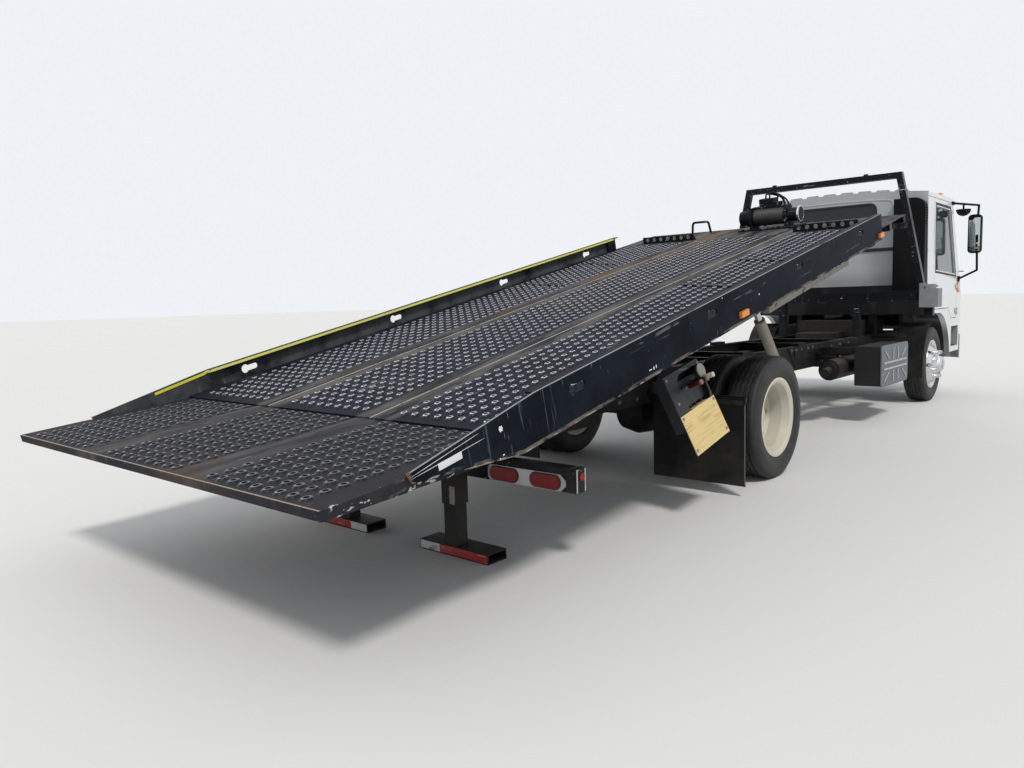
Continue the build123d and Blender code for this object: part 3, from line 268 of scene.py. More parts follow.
looks = {
    "blackFrame": look((0.009, 0.009, 0.010), 0.5, rust(0.36), dust(0.3, 0.2, 1.0), gloss=0.2),
    "castGrey": look((0.022, 0.021, 0.020), 0.7, rust(0.38), dust(0.3, 0.2), gloss=0.2),
    "tankAlloy": look(grey(0.62), 0.32, scratches(0.64, (1, 1, 0.03), grey(0.45)), dust(0.3, 0.4), metal=1.0),
    "lampAlloy": look((0.50, 0.51, 0.52), 0.38, chips(grey(0.06), 0.012), dust(0.3, 0.3), metal=0.6),
    "greyPlastic": look((0.030, 0.030, 0.032), 0.6, dust(0.25, 0.3), dimple=0.002, gloss=0.25),
    "blackPlastic": look(nearBlack, 0.45, dust(0.15, 0.2), dimple=0.0015, gloss=0.08),
    "windowRubber": look(nearBlack, 0.55, dust(0.12, 0.1), dimple=0.004),
    "rackBlack": look((0.010, 0.011, 0.015), 0.33, scratches(0.66), scratches(0.67, (0.04, 1, 1), size=0.012),
                      chips(grey(0.2)), dust(0.2, 0.2), gloss=0.08, bump=0.2),
    "flapRubber": look((0.006, 0.006, 0.007), 0.55, dust(0.15, 0.14, 0.6), dimple=0.01, dimpleDepth=1.0,
                       gloss=0.2),
    "chromeRim": look((0.74, 0.74, 0.75), 0.16, dust(0.1, 0.28, 0.9, size=0.08), metal=1.0, bump=0.08),
    "creamRim": look((0.60, 0.58, 0.49), 0.45, rust(0.33, 0.05), dust(0.15, 0.35, 0.8, (0.30, 0.26, 0.20))),
    "nutSteel": look((0.30, 0.29, 0.27), 0.45, rust(0.42, 0.03), metal=0.8),
    "seatCloth": look((0.075, 0.075, 0.082), 0.9, scratches(0.6, (1, 0.2, 0.2), (0.10, 0.10, 0.11), 0.004),
                      grain=0.0012, bump=1.5),
    "chromeRod": look(grey(0.66), 0.16, dust(0.1, 0.1), metal=1.0, bump=0.05),
    "ramTan": look((0.36, 0.33, 0.26), 0.5, rust(0.36, 0.06), dust(0.2, 0.2)),
    "barTan": look((0.25, 0.235, 0.20), 0.6, rust(0.42, 0.07), scratches(0.62), dust(0.2, 0.2)),
    "seamLine": look((0.36, 0.34, 0.27), 0.6, rust(0.42, 0.1), chips(grey(0.05), 0.02)),
    # a near-black disc closing each hole, painted shade
    "holeDark": look(grey(0.003), 0.9),
    "bareSteel": look((0.33, 0.33, 0.34), 0.42, rust(0.42, 0.03), scratches(0.6), metal=0.8),
    # deck stud rims: worn bare steel, painted bright as the glints they catch; the tail's rims stay dark
    "studRim": look((0.56, 0.58, 0.66), 0.34, rust(0.40, 0.04), metal=0.55, vary=0.25, patch=0.04),
    "tailRim": look((0.11, 0.113, 0.125), 0.26, rust(0.36, 0.03), metal=0.4, vary=0.25, patch=0.05),
    "tailStud": look((0.006, 0.007, 0.012), 0.3, rust(0.34, 0.04), gloss=0.25),
    "wireRope": look((0.07, 0.068, 0.065), 0.5, rust(0.4, 0.02), metal=0.6),
    "whitePlate": look((0.72, 0.73, 0.72), 0.35, chips((0.10, 0.10, 0.11), 0.008), dust(0.1, 0.2), vary=0.04),
    "padRust": look((0.27, 0.225, 0.18), 0.65, rust(0.42, 0.012)),
    "markRed": look((0.42, 0.015, 0.013), 0.4, scratches(0.6, (0.1, 1, 1)), dust(0.2, 0.25)),
    "markWhite": look((0.62, 0.63, 0.62), 0.4, scratches(0.6, (0.1, 1, 1), grey(0.2)), dust(0.2, 0.25)),
    "flapEdge": look((0.12, 0.12, 0.125), 0.6, dust(0.2, 0.2)),
}
for name, plainLook in looks.items():
    layered(name, plainLook)


# White body paint, with painted shade: the cab's rearward faces are tinted grey as if in shade, darker still low
# down there, and near black under the cab where shade falls
def cabPaintedShade(f):
    level = f.reach(up)
    y = f.reach(along)
    under = f.between(level, 1.275, 1.268) * f.between(y, *fromAxle(-4.16, -4.14))
    inside = f.between(level, 0.97, 0.955) * f.between(abs(f.reach(across)), 0.947, 0.945)
    rear = f.between(f.faces(along), 0.6, 0.9)
    low = f.between(level, 1.46, 1.30) * rear
    # painted shade: grey on the rearward faces, darker low on the back, near black under the cab
    return [(rear * (f.noise(0.6, 4) * 0.3 + 0.65), coat((0.30, 0.32, 0.35), 0.42)),
            (low * 0.6, coat((0.19, 0.185, 0.18), 0.5)),
            (f.higher(under, inside) * f.near(y, fromAxle(-4.3), 0.9), coat((0.016, 0.016, 0.018), 0.7))]


paint = look((0.70, 0.715, 0.72), 0.30, dust(0.12, 0.35, 1.1, (0.42, 0.40, 0.36)), vary=0.03, bump=0.06,
             patch=1.2, clearCoat=0.5)
layered("whitePaint", paint, cabPaintedShade)


# The battery box's cover is grey-blue with pale ribs, and its body is dark
def coverGround(f):
    x = abs(f.reach(across))
    rib = f.between(x, 0.9965, 0.9990) * (f.noise(0.05, 4) * 0.5 + 0.6)
    return [(rib, coat((0.42, 0.45, 0.48), 0.4)), (f.between(x, 0.9815, 0.9805), coat(nearBlack, 0.55))]


cover = look((0.135, 0.150, 0.170), 0.45, scratches(0.66), rust(0.36, 0.05), dust(0.3, 0.35), metal=0.2)
layered("coverGrey", cover, coverGround)

# Gold plate, with long streaks
down = (1, 0.02, 1)
plate = look((0.70, 0.54, 0.24), 0.5, scratches(0.53, down, (0.56, 0.39, 0.14), 0.009, 0.5, 0.0),
             scratches(0.60, down, (0.80, 0.70, 0.42), 0.006, 0.5, 0.0), dust(0.1, 0.1),
             metal=0.1, vary=0.05, onBed=True)
layered("goldPlate", plate)

# Control consoles: whatever stands off the leaning face is a lever's grip or the lamp
console = {"topX": 1.0, "topUp": -0.252, "lean": math.atan2(0.150, 0.414), "middle": -1.5765}


def consoleGround(f):
    out = abs(f.reach(across)) - console["topX"]
    rise = f.reach(bedUp, knee) - console["topUp"]
    b = f.reach(bedAlong, knee)
    off = out * math.cos(console["lean"]) + rise * math.sin(console["lean"])
    lever = f.between(b, console["middle"] - 0.075, console["middle"] - 0.07)
    grip = f.between(off, 0.023, 0.0245) * lever
    tip = f.between(off, 0.098, 0.0985) * lever
    lamp = f.between(off, 0.033, 0.0345) * (1 - lever)
    plateWear = f.near(off, 0.0, 0.003) * f.patches(0.35, 0.6, 0.35, 3)
    return [(plateWear * 0.7, coat((0.050, 0.056, 0.066), 0.4)), (grip, coat((0.045, 0.006, 0.007), 0.3)),
            (tip, coat((0.17, 0.13, 0.13), 0.4)), (lamp, coat((0.46, 0.46, 0.40), 0.15))]


consoleLook = look((0.020, 0.022, 0.027), 0.36, scratches(0.69, color=(0.14, 0.15, 0.16)), rust(0.28, 0.03),
                   dust(0.2, 0.1), gloss=0.25, bump=0.2)
layered("consoleBlack", consoleLook, consoleGround)


# Bed steel: dusty strips over the seams, brown stains down the middle, chips at the tail's right edge
def deckStains(f):
    x = f.reach(across)
    b = f.reach(bedAlong, knee)
    middle = f.near(x, 0.37, 0.10, 0.20) + f.between(abs(x), 0.3, 0.05) * 0.35
    strip = f.near(abs(x), 0.42, 0.09, 0.05) + f.between(b, -4.50, -4.60)
    tailEdge = f.between(x, -1.196, -1.208) * f.between(b, 0.10, 0.30)
    brown = f.patches(0.47, 0.62, 0.7, 6, (3, 1, 1), 0.7) * middle * f.between(b, -1.4, -2.4)
    muddy = f.patches(0.50, 0.64, 0.5, 5, (1, 2, 1)) * f.between(b, 0.35, 0.85)
    return [(f.patches(0.35, 0.65, 0.5, 5, (5, 1, 1), 0.65) * strip * 0.85, coat((0.135, 0.13, 0.125), 0.7)),
            (f.patches(0.5, 0.70, 0.30, 5, (3, 1, 1), 0.65) * 0.2, coat((0.10, 0.095, 0.09), 0.75)),
            (f.between(b, 0.03, 0.08) * (f.noise(0.2, 4) * 0.5 + 0.02), coat((0.070, 0.066, 0.068), 0.7)),
            (brown * 0.75, coat((0.16, 0.098, 0.055), 0.8)),
            (muddy * 0.6, coat((0.10, 0.072, 0.055), 0.85)),
            (tailEdge * f.patches(0.60, 0.63, 0.022, 4, (1, 0.45, 1)), coat((0.45, 0.45, 0.43), 0.6))]


deck = look((0.013, 0.015, 0.023), 0.45, scratches(0.64, (1, 0.04, 1), (0.15, 0.15, 0.16)), rust(0.35, 0.05),
            vary=0.3, patch=0.35, bump=0.6, depth=0.0008, onBed=True, gloss=0.02)
layered("deckSteel", deck, deckStains)
studLook = look((0.012, 0.013, 0.020), 0.28, rust(0.34, 0.04), vary=0.3, patch=0.12, bump=0.3, gloss=0.22)
layered("studSteel", studLook, deckStains)


# The rack has a painted highlight: its outward faces are tinted paler as if sunlit; its feet are a paler grey
def rackSunlitFacesAndFeet(f):
    x = f.reach(across)
    z = f.reach(up)
    foot = f.between(abs(x), 1.000, 1.004) * f.between(z, 1.03, 1.04) * f.between(z, 1.285, 1.275)
    outer = f.between(f.faces(across) * x, 0.60, 0.75)
    # painted light on the outward faces, then the paler grey of the feet
    return [(outer * (f.noise(0.15, 4) * 0.4 + 0.45), coat((0.17, 0.175, 0.19), 0.4)),
            (foot * (f.noise(0.08, 4) * 0.35 + 0.6), coat((0.27, 0.29, 0.31), 0.5))]


layered("rackSteel", looks["rackBlack"], rackSunlitFacesAndFeet)

# Side rails: navy black, with a painted highlight along the top edge broken in patches like worn paint, and
# scuffed along the bottom
rail = {"topBend": -0.11, "topSlope": 0.0776, "bottom": -0.09, "bottomSlope": 0.209, "band": 0.014}


def railWearAndTopHighlight(f):
    b = f.reach(bedAlong, knee)
    level = f.reach(bedUp, knee)
    x = f.reach(across)
    overTop = level - (truck["railTop"] - f.higher(b - rail["topBend"], 0.0) * rail["topSlope"])
    overBottom = level - (f.higher(b, 0.0) * rail["bottomSlope"] + rail["bottom"])
    inner = f.between(x, 1.10, 1.15) * f.between(f.faces(across), -0.5, -0.9) * f.patches(0.25, 0.6, 0.3, 5)
    drips = f.patches(0.70, 0.73, 0.011, 2, (1, 1, 0.12)) * f.patches(0.44, 0.54, 0.35, 3)
    edge = f.between(abs(x), 1.2195, 1.2215)
    # painted highlight: a bright metallic line along the rails' outer top edge, in patches like wear
    worn = f.between(overTop, -0.0036, -0.0014) * f.patches(0.30, 0.42, 0.5, 3) * edge
    band = f.between(overBottom, rail["band"] + 0.004, rail["band"])
    scuffed = band * f.patches(0.44, 0.56, 0.09, 5, (1, 0.4, 1))
    rubbed = f.between(overBottom, rail["band"] * 0.7, 0.002) * f.patches(0.52, 0.60, 0.012, 3, (1, 0.15, 1))
    rusty = f.between(b, 0.535, 0.552) * f.patches(0.35, 0.5, 0.03, 4)
    grazes = f.near(b, 0.03, 0.20, 0.1) * f.patches(0.62, 0.68, 0.016, 2, (1, 0.7, 0.06))
    return [(inner * 0.75, coat((0.115, 0.118, 0.122), 0.7)),
            (drips * 0.65, coat((0.20, 0.225, 0.24), 0.5)),
            (worn * 0.85, coat((0.40, 0.42, 0.45), 0.4, 0.5)),
            (scuffed * 0.9, coat((0.15, 0.135, 0.115), 0.7)),
            (rubbed, coat((0.34, 0.32, 0.30), 0.6)),
            (rusty, coat((0.17, 0.085, 0.045), 0.85)),
            (grazes * 0.4, coat((0.12, 0.14, 0.165), 0.5))]


railLook = look((0.009, 0.012, 0.018), 0.34, scratches(0.67, down, (0.12, 0.13, 0.14)), rust(0.26, 0.06),
                dust(0.2, 0.05, 0.9), vary=0.35, patch=0.3, bump=0.3, dimple=0.09, depth=0.0007,
                gloss=0.012, onBed=True)
layered("railSteel", railLook, railWearAndTopHighlight)

# Leaf springs show their leaves as dark lines on arcs
springs = {"rearLeaves": (0.0, 3.088), "frontLeaves": (-4.47, 8.14), "leaf": 0.011}


def leafLines(y, centre):
    def relief(f):
        return f.between(f.repeat(f.radius((0, y, centre)), springs["leaf"]), 0.0, 0.0013) * 6.0
    return relief


for name in ("rearLeaves", "frontLeaves"):
    axle, centre = springs[name]
    layered(name, looks["blackFrame"], None, leafLines(fromAxle(axle), centre))

# Tyre rubber, dustier on its walls, with fine rings
rubber = {"color": (0.011, 0.011, 0.012), "dustColor": (0.075, 0.071, 0.065), "dust": 0.4, "treadFrom": 0.392}


def tyreFinish():
    f = Finish("tyreRubber")
    radius = f.radius()
    wall = f.between(radius, rubber["treadFrom"], rubber["treadFrom"] - 0.02)
    dusty = f.patches(0.35, 0.7, 0.12, 4) * rubber["dust"]
    ring = f.node("ShaderNodeTexNoise", {"noise_dimensions": "1D"}, {"W": radius * 160.0, "Detail": 2.0})
    rib = f.between(f.repeat(radius, 0.0125), 0.0, 0.0016)
    color = f.tint(dusty * (wall * 0.5 + 0.5), rubber["color"], rubber["dustColor"])
    f.close({"Base Color": color, "Roughness": 0.52 + dusty * 0.3, "Specular IOR Level": 0.4},
            f.noise(0.003, 5) * 0.5 + ring * wall * 0.6 + rib * wall * 0.8, 0.0009)


def lensFinish(name, color, roughness=0.12):
    f = Finish(name)
    tone = f.tint(f.noise(0.05, 2), shade(color, 0.75), color)
    rough = roughness + f.noise(0.006, 1) * 0.06
    ribs = f.node("ShaderNodeTexWave", {"wave_type": "BANDS", "bands_direction": "X"},
                  {"Vector": f.place, "Scale": 60.0, "Distortion": 0.0})
    f.close({"Base Color": tone, "Roughness": rough, "Specular IOR Level": 0.35}, ribs, 0.0006)


def glassFinish(name, color, clear, metal=0.0):
    f = Finish(name)
    f.close({"Base Color": color, "Roughness": 0.02 + f.patches(0.4, 0.75, 0.3, 4) * 0.05,
             "Transmission Weight": clear, "Metallic": metal, "IOR": 1.45})


tyreFinish()
lensFinish("redLens", (0.26, 0.007, 0.008))
lensFinish("amberLens", (0.85, 0.27, 0.02))
lensFinish("clearLens", (0.72, 0.74, 0.75), 0.08)
glassFinish("windowGlass", (0.30, 0.36, 0.37), 0.9)
glassFinish("cabGlass", (0.05, 0.065, 0.07), 0.85)
glassFinish("mirrorGlass", (0.50, 0.56, 0.54), 0.0, 1.0)
glassFinish("mirrorWide", (0.20, 0.23, 0.23), 0.0, 1.0)


# Yellow tape with a paler core, worn through here and there
def tapeCore(f):
    core = f.near(f.reach(bedUp, knee), 0.106, 0.003, 0.002)
    return [(core * f.noise(0.05, 3), coat((0.93, 0.91, 0.55), 0.35))]


layered("yellowTape", look((0.80, 0.74, 0.06), 0.38, dust(0.2, 0.1), chips(grey(0.05), 0.015)), tapeCore)
print("finishes ready:", len(made))

finishOf = {
    "blackFrame": "frame_rails rear_axle front_axle air_tank tail_frame muffler driveshaft stabilizer_left"
                  " stabilizer_right knuckle_left knuckle_right",
    "rearLeaves": "rear_springs", "frontLeaves": "front_springs", "castGrey": "engine_block",
    "coverGrey": "battery_box", "tankAlloy": "fuel_tank", "lampAlloy": "lamp_frames",
    "whitePaint": "bumper cab_shell door_left door_right", "greyPlastic": "dashboard steering_wheel",
    "rackSteel": "cab_rack",
    "rackBlack": "lamp_bar tilt_frame slide_barrel wheel_stops winch winch_drum grab_loop",
    "consoleBlack": "control_consoles", "goldPlate": "console_plates",
    "redLens": "tail_lamps", "flapRubber": "mud_flaps",
    "tyreRubber": "tyre_front_left tyre_front_right tyres_rear_left tyres_rear_right",
    "chromeRim": "rim_front_left rim_front_right", "creamRim": "rims_rear_left rims_rear_right",
    "windowGlass": "door_glass_left door_glass_right", "cabGlass": "cab_glass", "seatCloth": "seats",
    "blackPlastic": "air_intake cab_mirrors grille front_guards", "clearLens": "headlamps",
    "chromeRod": "slide_rod tilt_rods", "deckSteel": "bed_frame bed_deck", "railSteel": "side_rails",
    "amberLens": "side_markers", "ramTan": "tilt_barrels", "barTan": "side_bars",
}
for finish, nodes in finishOf.items():
    for node in nodes.split():
        mesh = cadNodes[node].data
        mesh.materials.clear()
        mesh.materials.append(made[finish])
print("CAD nodes dressed")


class Shape:
    # gathers the parts of one piece in a bmesh, each in the frame that place holds when it is added
    def __init__(self, place=flat):
        self.mesh = bmesh.new()
        self.place = place

    def finishOff(self, corners, edges, bevel, slot):
        for face in {face for corner in corners for face in corner.link_faces}:
            face.material_index = slot
        if bevel:
            bmesh.ops.bevel(self.mesh, geom=list(edges), offset=bevel, segments=2, affect="EDGES",
                            profile=0.6, material=slot)
        return self

    def box(self, x, y, z, bevel=0.0, slot=0):
        size = Matrix.Diagonal((x[1] - x[0], y[1] - y[0], z[1] - z[0], 1))
        middle = Matrix.Translation(((x[0] + x[1]) / 2, (y[0] + y[1]) / 2, (z[0] + z[1]) / 2))
        corners = bmesh.ops.create_cube(self.mesh, size=1, matrix=self.place @ middle @ size)["verts"]
        edges = {edge for corner in corners for edge in corner.link_edges}
        return self.finishOff(corners, edges, bevel, slot)

    def pair(self, x, y, z, bevel=0.0, slot=0):
        # the same box on the left and on the right
        return self.box(x, y, z, bevel, slot).box(span(*x, -1), y, z, bevel, slot)

    def rod(self, start, end, radius, endRadius=None, sides=16, bevel=0.0, slot=0):
        run = Vector(end) - Vector(start)
        middle = Matrix.Translation((Vector(start) + Vector(end)) / 2)
        turn = run.to_track_quat("Z", "Y").to_matrix().to_4x4()
        corners = bmesh.ops.create_cone(self.mesh, cap_ends=True, segments=sides, radius1=radius,
                                        radius2=radius if endRadius is None else endRadius, depth=run.length,
                                        matrix=self.place @ middle @ turn)["verts"]
        rims = {edge for corner in corners for edge in corner.link_edges
                if any(len(face.verts) > 4 for face in edge.link_faces)}
        return self.finishOff(corners, rims, bevel, slot)

    def rings(self, rings, closed=True, slot=0, caps=False):
        rows = [[self.mesh.verts.new(self.place @ Vector(point)) for point in ring] for ring in rings]
        count = len(rows[0])
        faces = [(row[index], row[(index + 1) % count], following[(index + 1) % count], following[index])
                 for row, following in zip(rows, rows[1:]) for index in range(count if closed else count - 1)]
        if caps:
            faces += [rows[0][::-1], rows[-1]]
        for face in faces:
            self.mesh.faces.new(face).material_index = slot
        return rows

    def tube(self, points, radius, sides=8, slot=0):
        # a round bar along a smooth line through the points
        line = smoothLine([Vector(point) for point in points])
        rings = []
        normal = None
        for index, point in enumerate(line):
            ahead = (line[min(index + 1, len(line) - 1)] - line[max(index - 1, 0)]).normalized()
            normal = normal or ahead.orthogonal().normalized()
            normal = (normal - ahead * normal.dot(ahead)).normalized()
            side = ahead.cross(normal)
            rings.append([point + radius * (math.cos(turn) * normal + math.sin(turn) * side)
                          for turn in around(sides)])
        self.rings(rings, True, slot, True)
        return self

    def lathe(self, profile, steps=40, spot=(0, 0, 0)):
        # turns (along X, radius) pairs about an axis along X through the spot
        x, y, z = spot
        rings = [[(x + a, y + radius * math.cos(turn), z + radius * math.sin(turn)) for a, radius in profile]
                 for turn in around(steps)]
        self.rings(rings + rings[:1], False)
        return self

    def border(self, points, width, rise, facing):
        # a raised strip of the given width inside a flat closed outline
        corners = [Vector(point) for point in points]
        facing = Vector(facing).normalized()
        profile = [(0, -0.001), (0, rise * 0.6), (width * 0.25, rise), (width * 0.75, rise),
                   (width, rise * 0.6), (width, -0.001)]
        rings = []
        for before, corner, after in zip(corners[-1:] + corners[:-1], corners, corners[1:] + corners[:1]):
            first = facing.cross(corner - before).normalized()
            second = facing.cross(after - corner).normalized()
            inward = (first + second) / (1 + first.dot(second))
            rings.append([corner + inward * far + facing * out for far, out in profile])
        self.rings(rings + rings[:1], False)
        return self

    def bolt(self, spot, facing, radius, height, slot=0):
        # a hexagon head on a washer
        spot, facing = Vector(spot), Vector(facing).normalized()
        self.rod(spot - facing * 0.001, spot + facing * height * 0.25, radius * 1.35, sides=12, slot=slot)
        return self.rod(spot, spot + facing * height, radius, radius * 0.94, sides=6, slot=slot)

    def done(self, name, finishes, body, slot, smooth=38, at=flat):
        bmesh.ops.remove_doubles(self.mesh, verts=self.mesh.verts, dist=1e-6)
        bmesh.ops.recalc_face_normals(self.mesh, faces=self.mesh.faces)
        mesh = bpy.data.meshes.new(name)
        self.mesh.to_mesh(mesh)
        self.mesh.free()
        for finish in finishes.split():
            mesh.materials.append(made[finish])
        mesh.shade_smooth()
        mesh.set_sharp_from_angle(angle=math.radians(smooth))
        piece = bpy.data.objects.new(name, mesh)
        piece.matrix_world = at
        bpy.context.scene.collection.objects.link(piece)
        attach(piece, body)
        return piece


def smoothLine(points, steps=6):
    if len(points) < 3:
        return points
    line = []
    padded = [points[0] * 2 - points[1]] + points + [points[-1] * 2 - points[-2]]
    for before, start, end, after in zip(padded, padded[1:], padded[2:], padded[3:]):
        for t in (step / steps for step in range(steps)):
            line.append(0.5 * (2 * start + (end - before) * t
                               + (2 * before - 5 * start + 4 * end - after) * t ** 2
                               + (3 * start - before - 3 * end + after) * t ** 3))
    return line + [points[-1]]


# Deck studs, punched up with a hole through each; on the deck their rims carry a painted highlight, and each hole
# is closed by a near-black cap as painted shade
stud = {"halfX": 0.017, "halfY": 0.023, "height": 0.0078, "sides": 14, "columns": 9, "pitch": 0.0695,
        "laneX": {"left": 0.812, "middle": 0, "right": -0.812}, "tailRise": 6.46, "tailStep": 0.012,
        # where the rows start, how many there are, their pitch, and how far a stud grows
        "deck": (-0.045, 66, 0.0685, 1.0), "tail": (0.845, 12, 0.0695, 1.2),
        "steels": {"deck": "studSteel studRim holeDark", "tail": "tailStud tailRim holeDark"},
        # one stud's rings: how far out along X and Y, and how high
        "rings": [(1.0, 1.0, -0.02), (0.9, 0.88, 0.3), (0.80, 0.72, 0.78), (0.68, 0.54, 1.0),
                  (0.58, 0.38, 0.94), (0.55, 0.32, 0.3)]}
tailPlace = (bedPlace @ Matrix.Translation((0, 0, -stud["tailStep"]))
             @ Matrix.Rotation(math.radians(stud["tailRise"]), 4, "X"))


def addStud(shape, x, y, grow):
    wide, long, high = stud["halfX"] * grow, stud["halfY"] * grow, stud["height"]
    rings = [[(x + a * wide * math.cos(turn), y + b * long * math.sin(turn), c * high)
              for turn in around(stud["sides"])] for a, b, c in stud["rings"]]
    shape.rings(rings[:3])
    shape.rings(rings[2:5], slot=1)
    # the hole's bottom is a near-black cap, painted shade
    hole = shape.rings(rings[4:], slot=2)
    shape.mesh.faces.new(hole[-1]).material_index = 2


for lane, middle in stud["laneX"].items():
    for part, place in (("deck", bedPlace), ("tail", tailPlace)):
        first, rows, pitch, grow = stud[part]
        shape = Shape(place)
        for row in range(rows):
            for column in range(stud["columns"]):
                x = middle + (column - (stud["columns"] - 1) / 2) * stud["pitch"]
                addStud(shape, x, first - row * pitch, grow)
        shape.done(part + "Studs_" + lane, stud["steels"][part], "bed", "deck_steel", 50)
print("deck studs ready")

# Pale seam lines between the planks
seam = {"x": (0.395, 0.403), "y": (-4.575, 0.034), "z": (-0.003, 0.001)}
shape = Shape(bedPlace).pair(seam["x"], seam["y"], seam["z"], 0.001)
shape.done("plankSeams", "seamLine", "bed", "deck_steel")

# Low dark bars welded across the outer lanes
bars = {"ends": [((-0.53, -2.565), (-0.93, -2.450)), ((-0.52, -3.425), (-0.93, -3.270)),
                 ((0.52, -2.715), (1.00, -2.835)), ((0.60, -3.535), (1.03, -3.695))],
        # how wide a bar is along its length, and its section
        "half": 0.015,
        "widths": [(0.0, 0.15), (0.06, 0.8), (0.12, 1.0), (0.88, 1.0), (0.94, 0.8), (1.0, 0.15)],
        "section": [(-1, -0.0005), (-1, 0.00735), (-0.8, 0.0105), (0.8, 0.0105), (1, 0.00735), (1, -0.0005)]}
shape = Shape(bedPlace)
for start, end in bars["ends"]:
    start, end = Vector((*start, 0)), Vector((*end, 0))
    side = Vector(up).cross(end - start).normalized() * bars["half"]
    shape.rings([[start.lerp(end, share) + side * a * wide + Vector(up) * z for a, z in bars["section"]]
                 for share, wide in bars["widths"]], caps=True)
shape.done("laneBars", "rackBlack", "bed", "deck_steel")

# Drain holes beside the seams, each with a pressed rim and a near-black disc in it as painted shade
drain = {"radius": 0.0085, "right": -0.467, "left": 0.385, "more": 12, "pitch": 0.275,
         "rightStart": [-0.180, -0.457, -0.731, -1.011], "leftStart": [-0.453, -0.729, -1.004],
         "odd": (-0.381, -0.875), "rings": [(1.5, -0.0005), (1.15, 0.0012), (1.0, 0.0004)]}
steps = [step * drain["pitch"] for step in range(drain["more"])]
spots = [(drain["right"], y) for y in drain["rightStart"] + [-1.213 - step for step in steps]]
spots += [(drain["left"], y) for y in drain["leftStart"] + [-1.208 - step for step in steps]]
shape = Shape(bedPlace)
for x, y in spots + [drain["odd"]]:
    rings = [[(x + r * drain["radius"] * math.cos(turn), y + r * drain["radius"] * math.sin(turn), z)
              for turn in around(16)] for r, z in drain["rings"]]
    # the hole itself is a near-black disc, painted shade
    shape.mesh.faces.new(shape.rings(rings)[-1]).material_index = 1
shape.done("drainHoles", "deckSteel holeDark", "bed", "deck_steel")

# Rust-edged lip along the tail plate's end
lip = {"x": (-1.222, 1.222), "y": (0.8905, 0.8973), "z": (-0.006, 0.0009)}
Shape(tailPlace).box(lip["x"], lip["y"], lip["z"], 0.0006).done("tailLip", "padRust", "bed", "deck_steel")

# Tyres with zigzag grooves between their ribs, and notches in their shoulders
tyre = {"steps": 360, "zigzag": 0.005, "waves": 40, "grooveDepth": 0.010, "treadHalf": 0.084, "crown": 0.0025,
        "notch": 0.005, "notchEvery": 3, "notchFrom": 0.385, "slope": 0.0015, "smooth": 30,
        "grooves": [(-0.051, 0.009), (-0.017, 0.008), (0.017, 0.008), (0.051, 0.009)],
        "wall": [(-0.088, 0.247), (-0.088, 0.263), (-0.0945, 0.2665), (-0.101, 0.273), (-0.1035, 0.280),
                 (-0.1025, 0.284), (-0.1085, 0.298), (-0.1125, 0.311), (-0.1122, 0.331), (-0.1122, 0.336),
                 (-0.1098, 0.352), (-0.1060, 0.366), (-0.1055, 0.370), (-0.1005, 0.381), (-0.0965, 0.391),
                 (-0.0905, 0.399)]}


def tyreProfile(shift):
    outer, half, slope = truck["tyreRadius"], tyre["treadHalf"], tyre["slope"]
    tread = [(-half, outer - tyre["crown"])]
    for middle, width in tyre["grooves"]:
        crown = outer - 0.02 * middle * middle / half
        bottom = outer - tyre["grooveDepth"]
        a, b = middle - width / 2 + shift, middle + width / 2 + shift
        tread += [(a - slope, crown), (a, crown - 0.001), (a + slope, bottom),
                  (b - slope, bottom), (b, crown - 0.001), (b + slope, crown)]
    tread.append((half, outer - tyre["crown"]))
    return tyre["wall"] + tread + [(-a, r) for a, r in tyre["wall"][::-1]]


def addTyre(shape, x):
    rings = []
    for step, turn in enumerate(around(tyre["steps"])):
        wave = abs((step * tyre["waves"] / tyre["steps"]) % 1 - 0.5) * 4 - 1
        notch = 0 if step % tyre["notchEvery"] else tyre["notch"]
        ring = []
        for a, radius in tyreProfile(wave * tyre["zigzag"]):
            if abs(a) > tyre["treadHalf"] and radius > tyre["notchFrom"]:
                radius -= notch
            ring.append((x + a, radius * math.cos(turn), radius * math.sin(turn)))
        rings.append(ring)
    shape.rings(rings + rings[:1], False)


frontY = fromAxle(-truck["wheelBase"])
wheelZ = truck["tyreRadius"]
for side, hand in sides:
    shape = Shape()
    addTyre(shape, 0)
    place = Matrix.Translation((hand * truck["frontX"], frontY, wheelZ))
    name = "tyreTread_front_" + side
    piece = shape.done(name, "tyreRubber", "front_wheel_" + side, "tyre_rubber", tyre["smooth"], place)
    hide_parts("tyre_front_" + side)
    shape = Shape()
    addTyre(shape, hand * truck["rearOuterX"])
    addTyre(shape, hand * truck["rearInnerX"])
    place = Matrix.Translation((0, fromAxle(0), wheelZ))
    name = "tyreTread_rear_" + side
    piece = shape.done(name, "tyreRubber", "rear_wheels_" + side, "tyre_rubber", tyre["smooth"], place)
    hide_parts("tyres_rear_" + side)
print("tyres ready")

# Covers on the front wheel nuts and rings on the hub, rear studs and valve stems
hub = {"nuts": 8, "frontX": 1.0295, "frontCircle": 0.137, "rearX": 0.8475, "rearCircle": 0.132,
       "outerX": 1.032, "innerX": 1.0595, "valveRadius": 0.004,
       "cover": [(-0.052, 0.0255), (-0.046, 0.0255), (-0.040, 0.0215), (-0.014, 0.0195), (-0.004, 0.0165),
                 (0.002, 0.009), (0.003, 0.0)],
       "outerRing": [(-0.053, 0.101), (-0.049, 0.105), (-0.043, 0.105), (-0.040, 0.099)],
       "innerRing": [(0.0005, 0.050), (0.003, 0.046), (0.003, 0.030), (0.0005, 0.026)],
       "stud": [(-0.018, 0.024), (-0.014, 0.024), (-0.014, 0.012), (0.014, 0.0115), (0.017, 0.009),
                (0.017, 0.0)],
       "valve": [(0.873, 0.196, 0.020), (0.905, 0.200, 0.020), (0.940, 0.205, 0.021)]}


def addNuts(shape, profile, steps, x, y, radius):
    for turn in around(hub["nuts"], 0.5):
        shape.lathe(profile, steps, (x, y + radius * math.cos(turn), wheelZ + radius * math.sin(turn)))


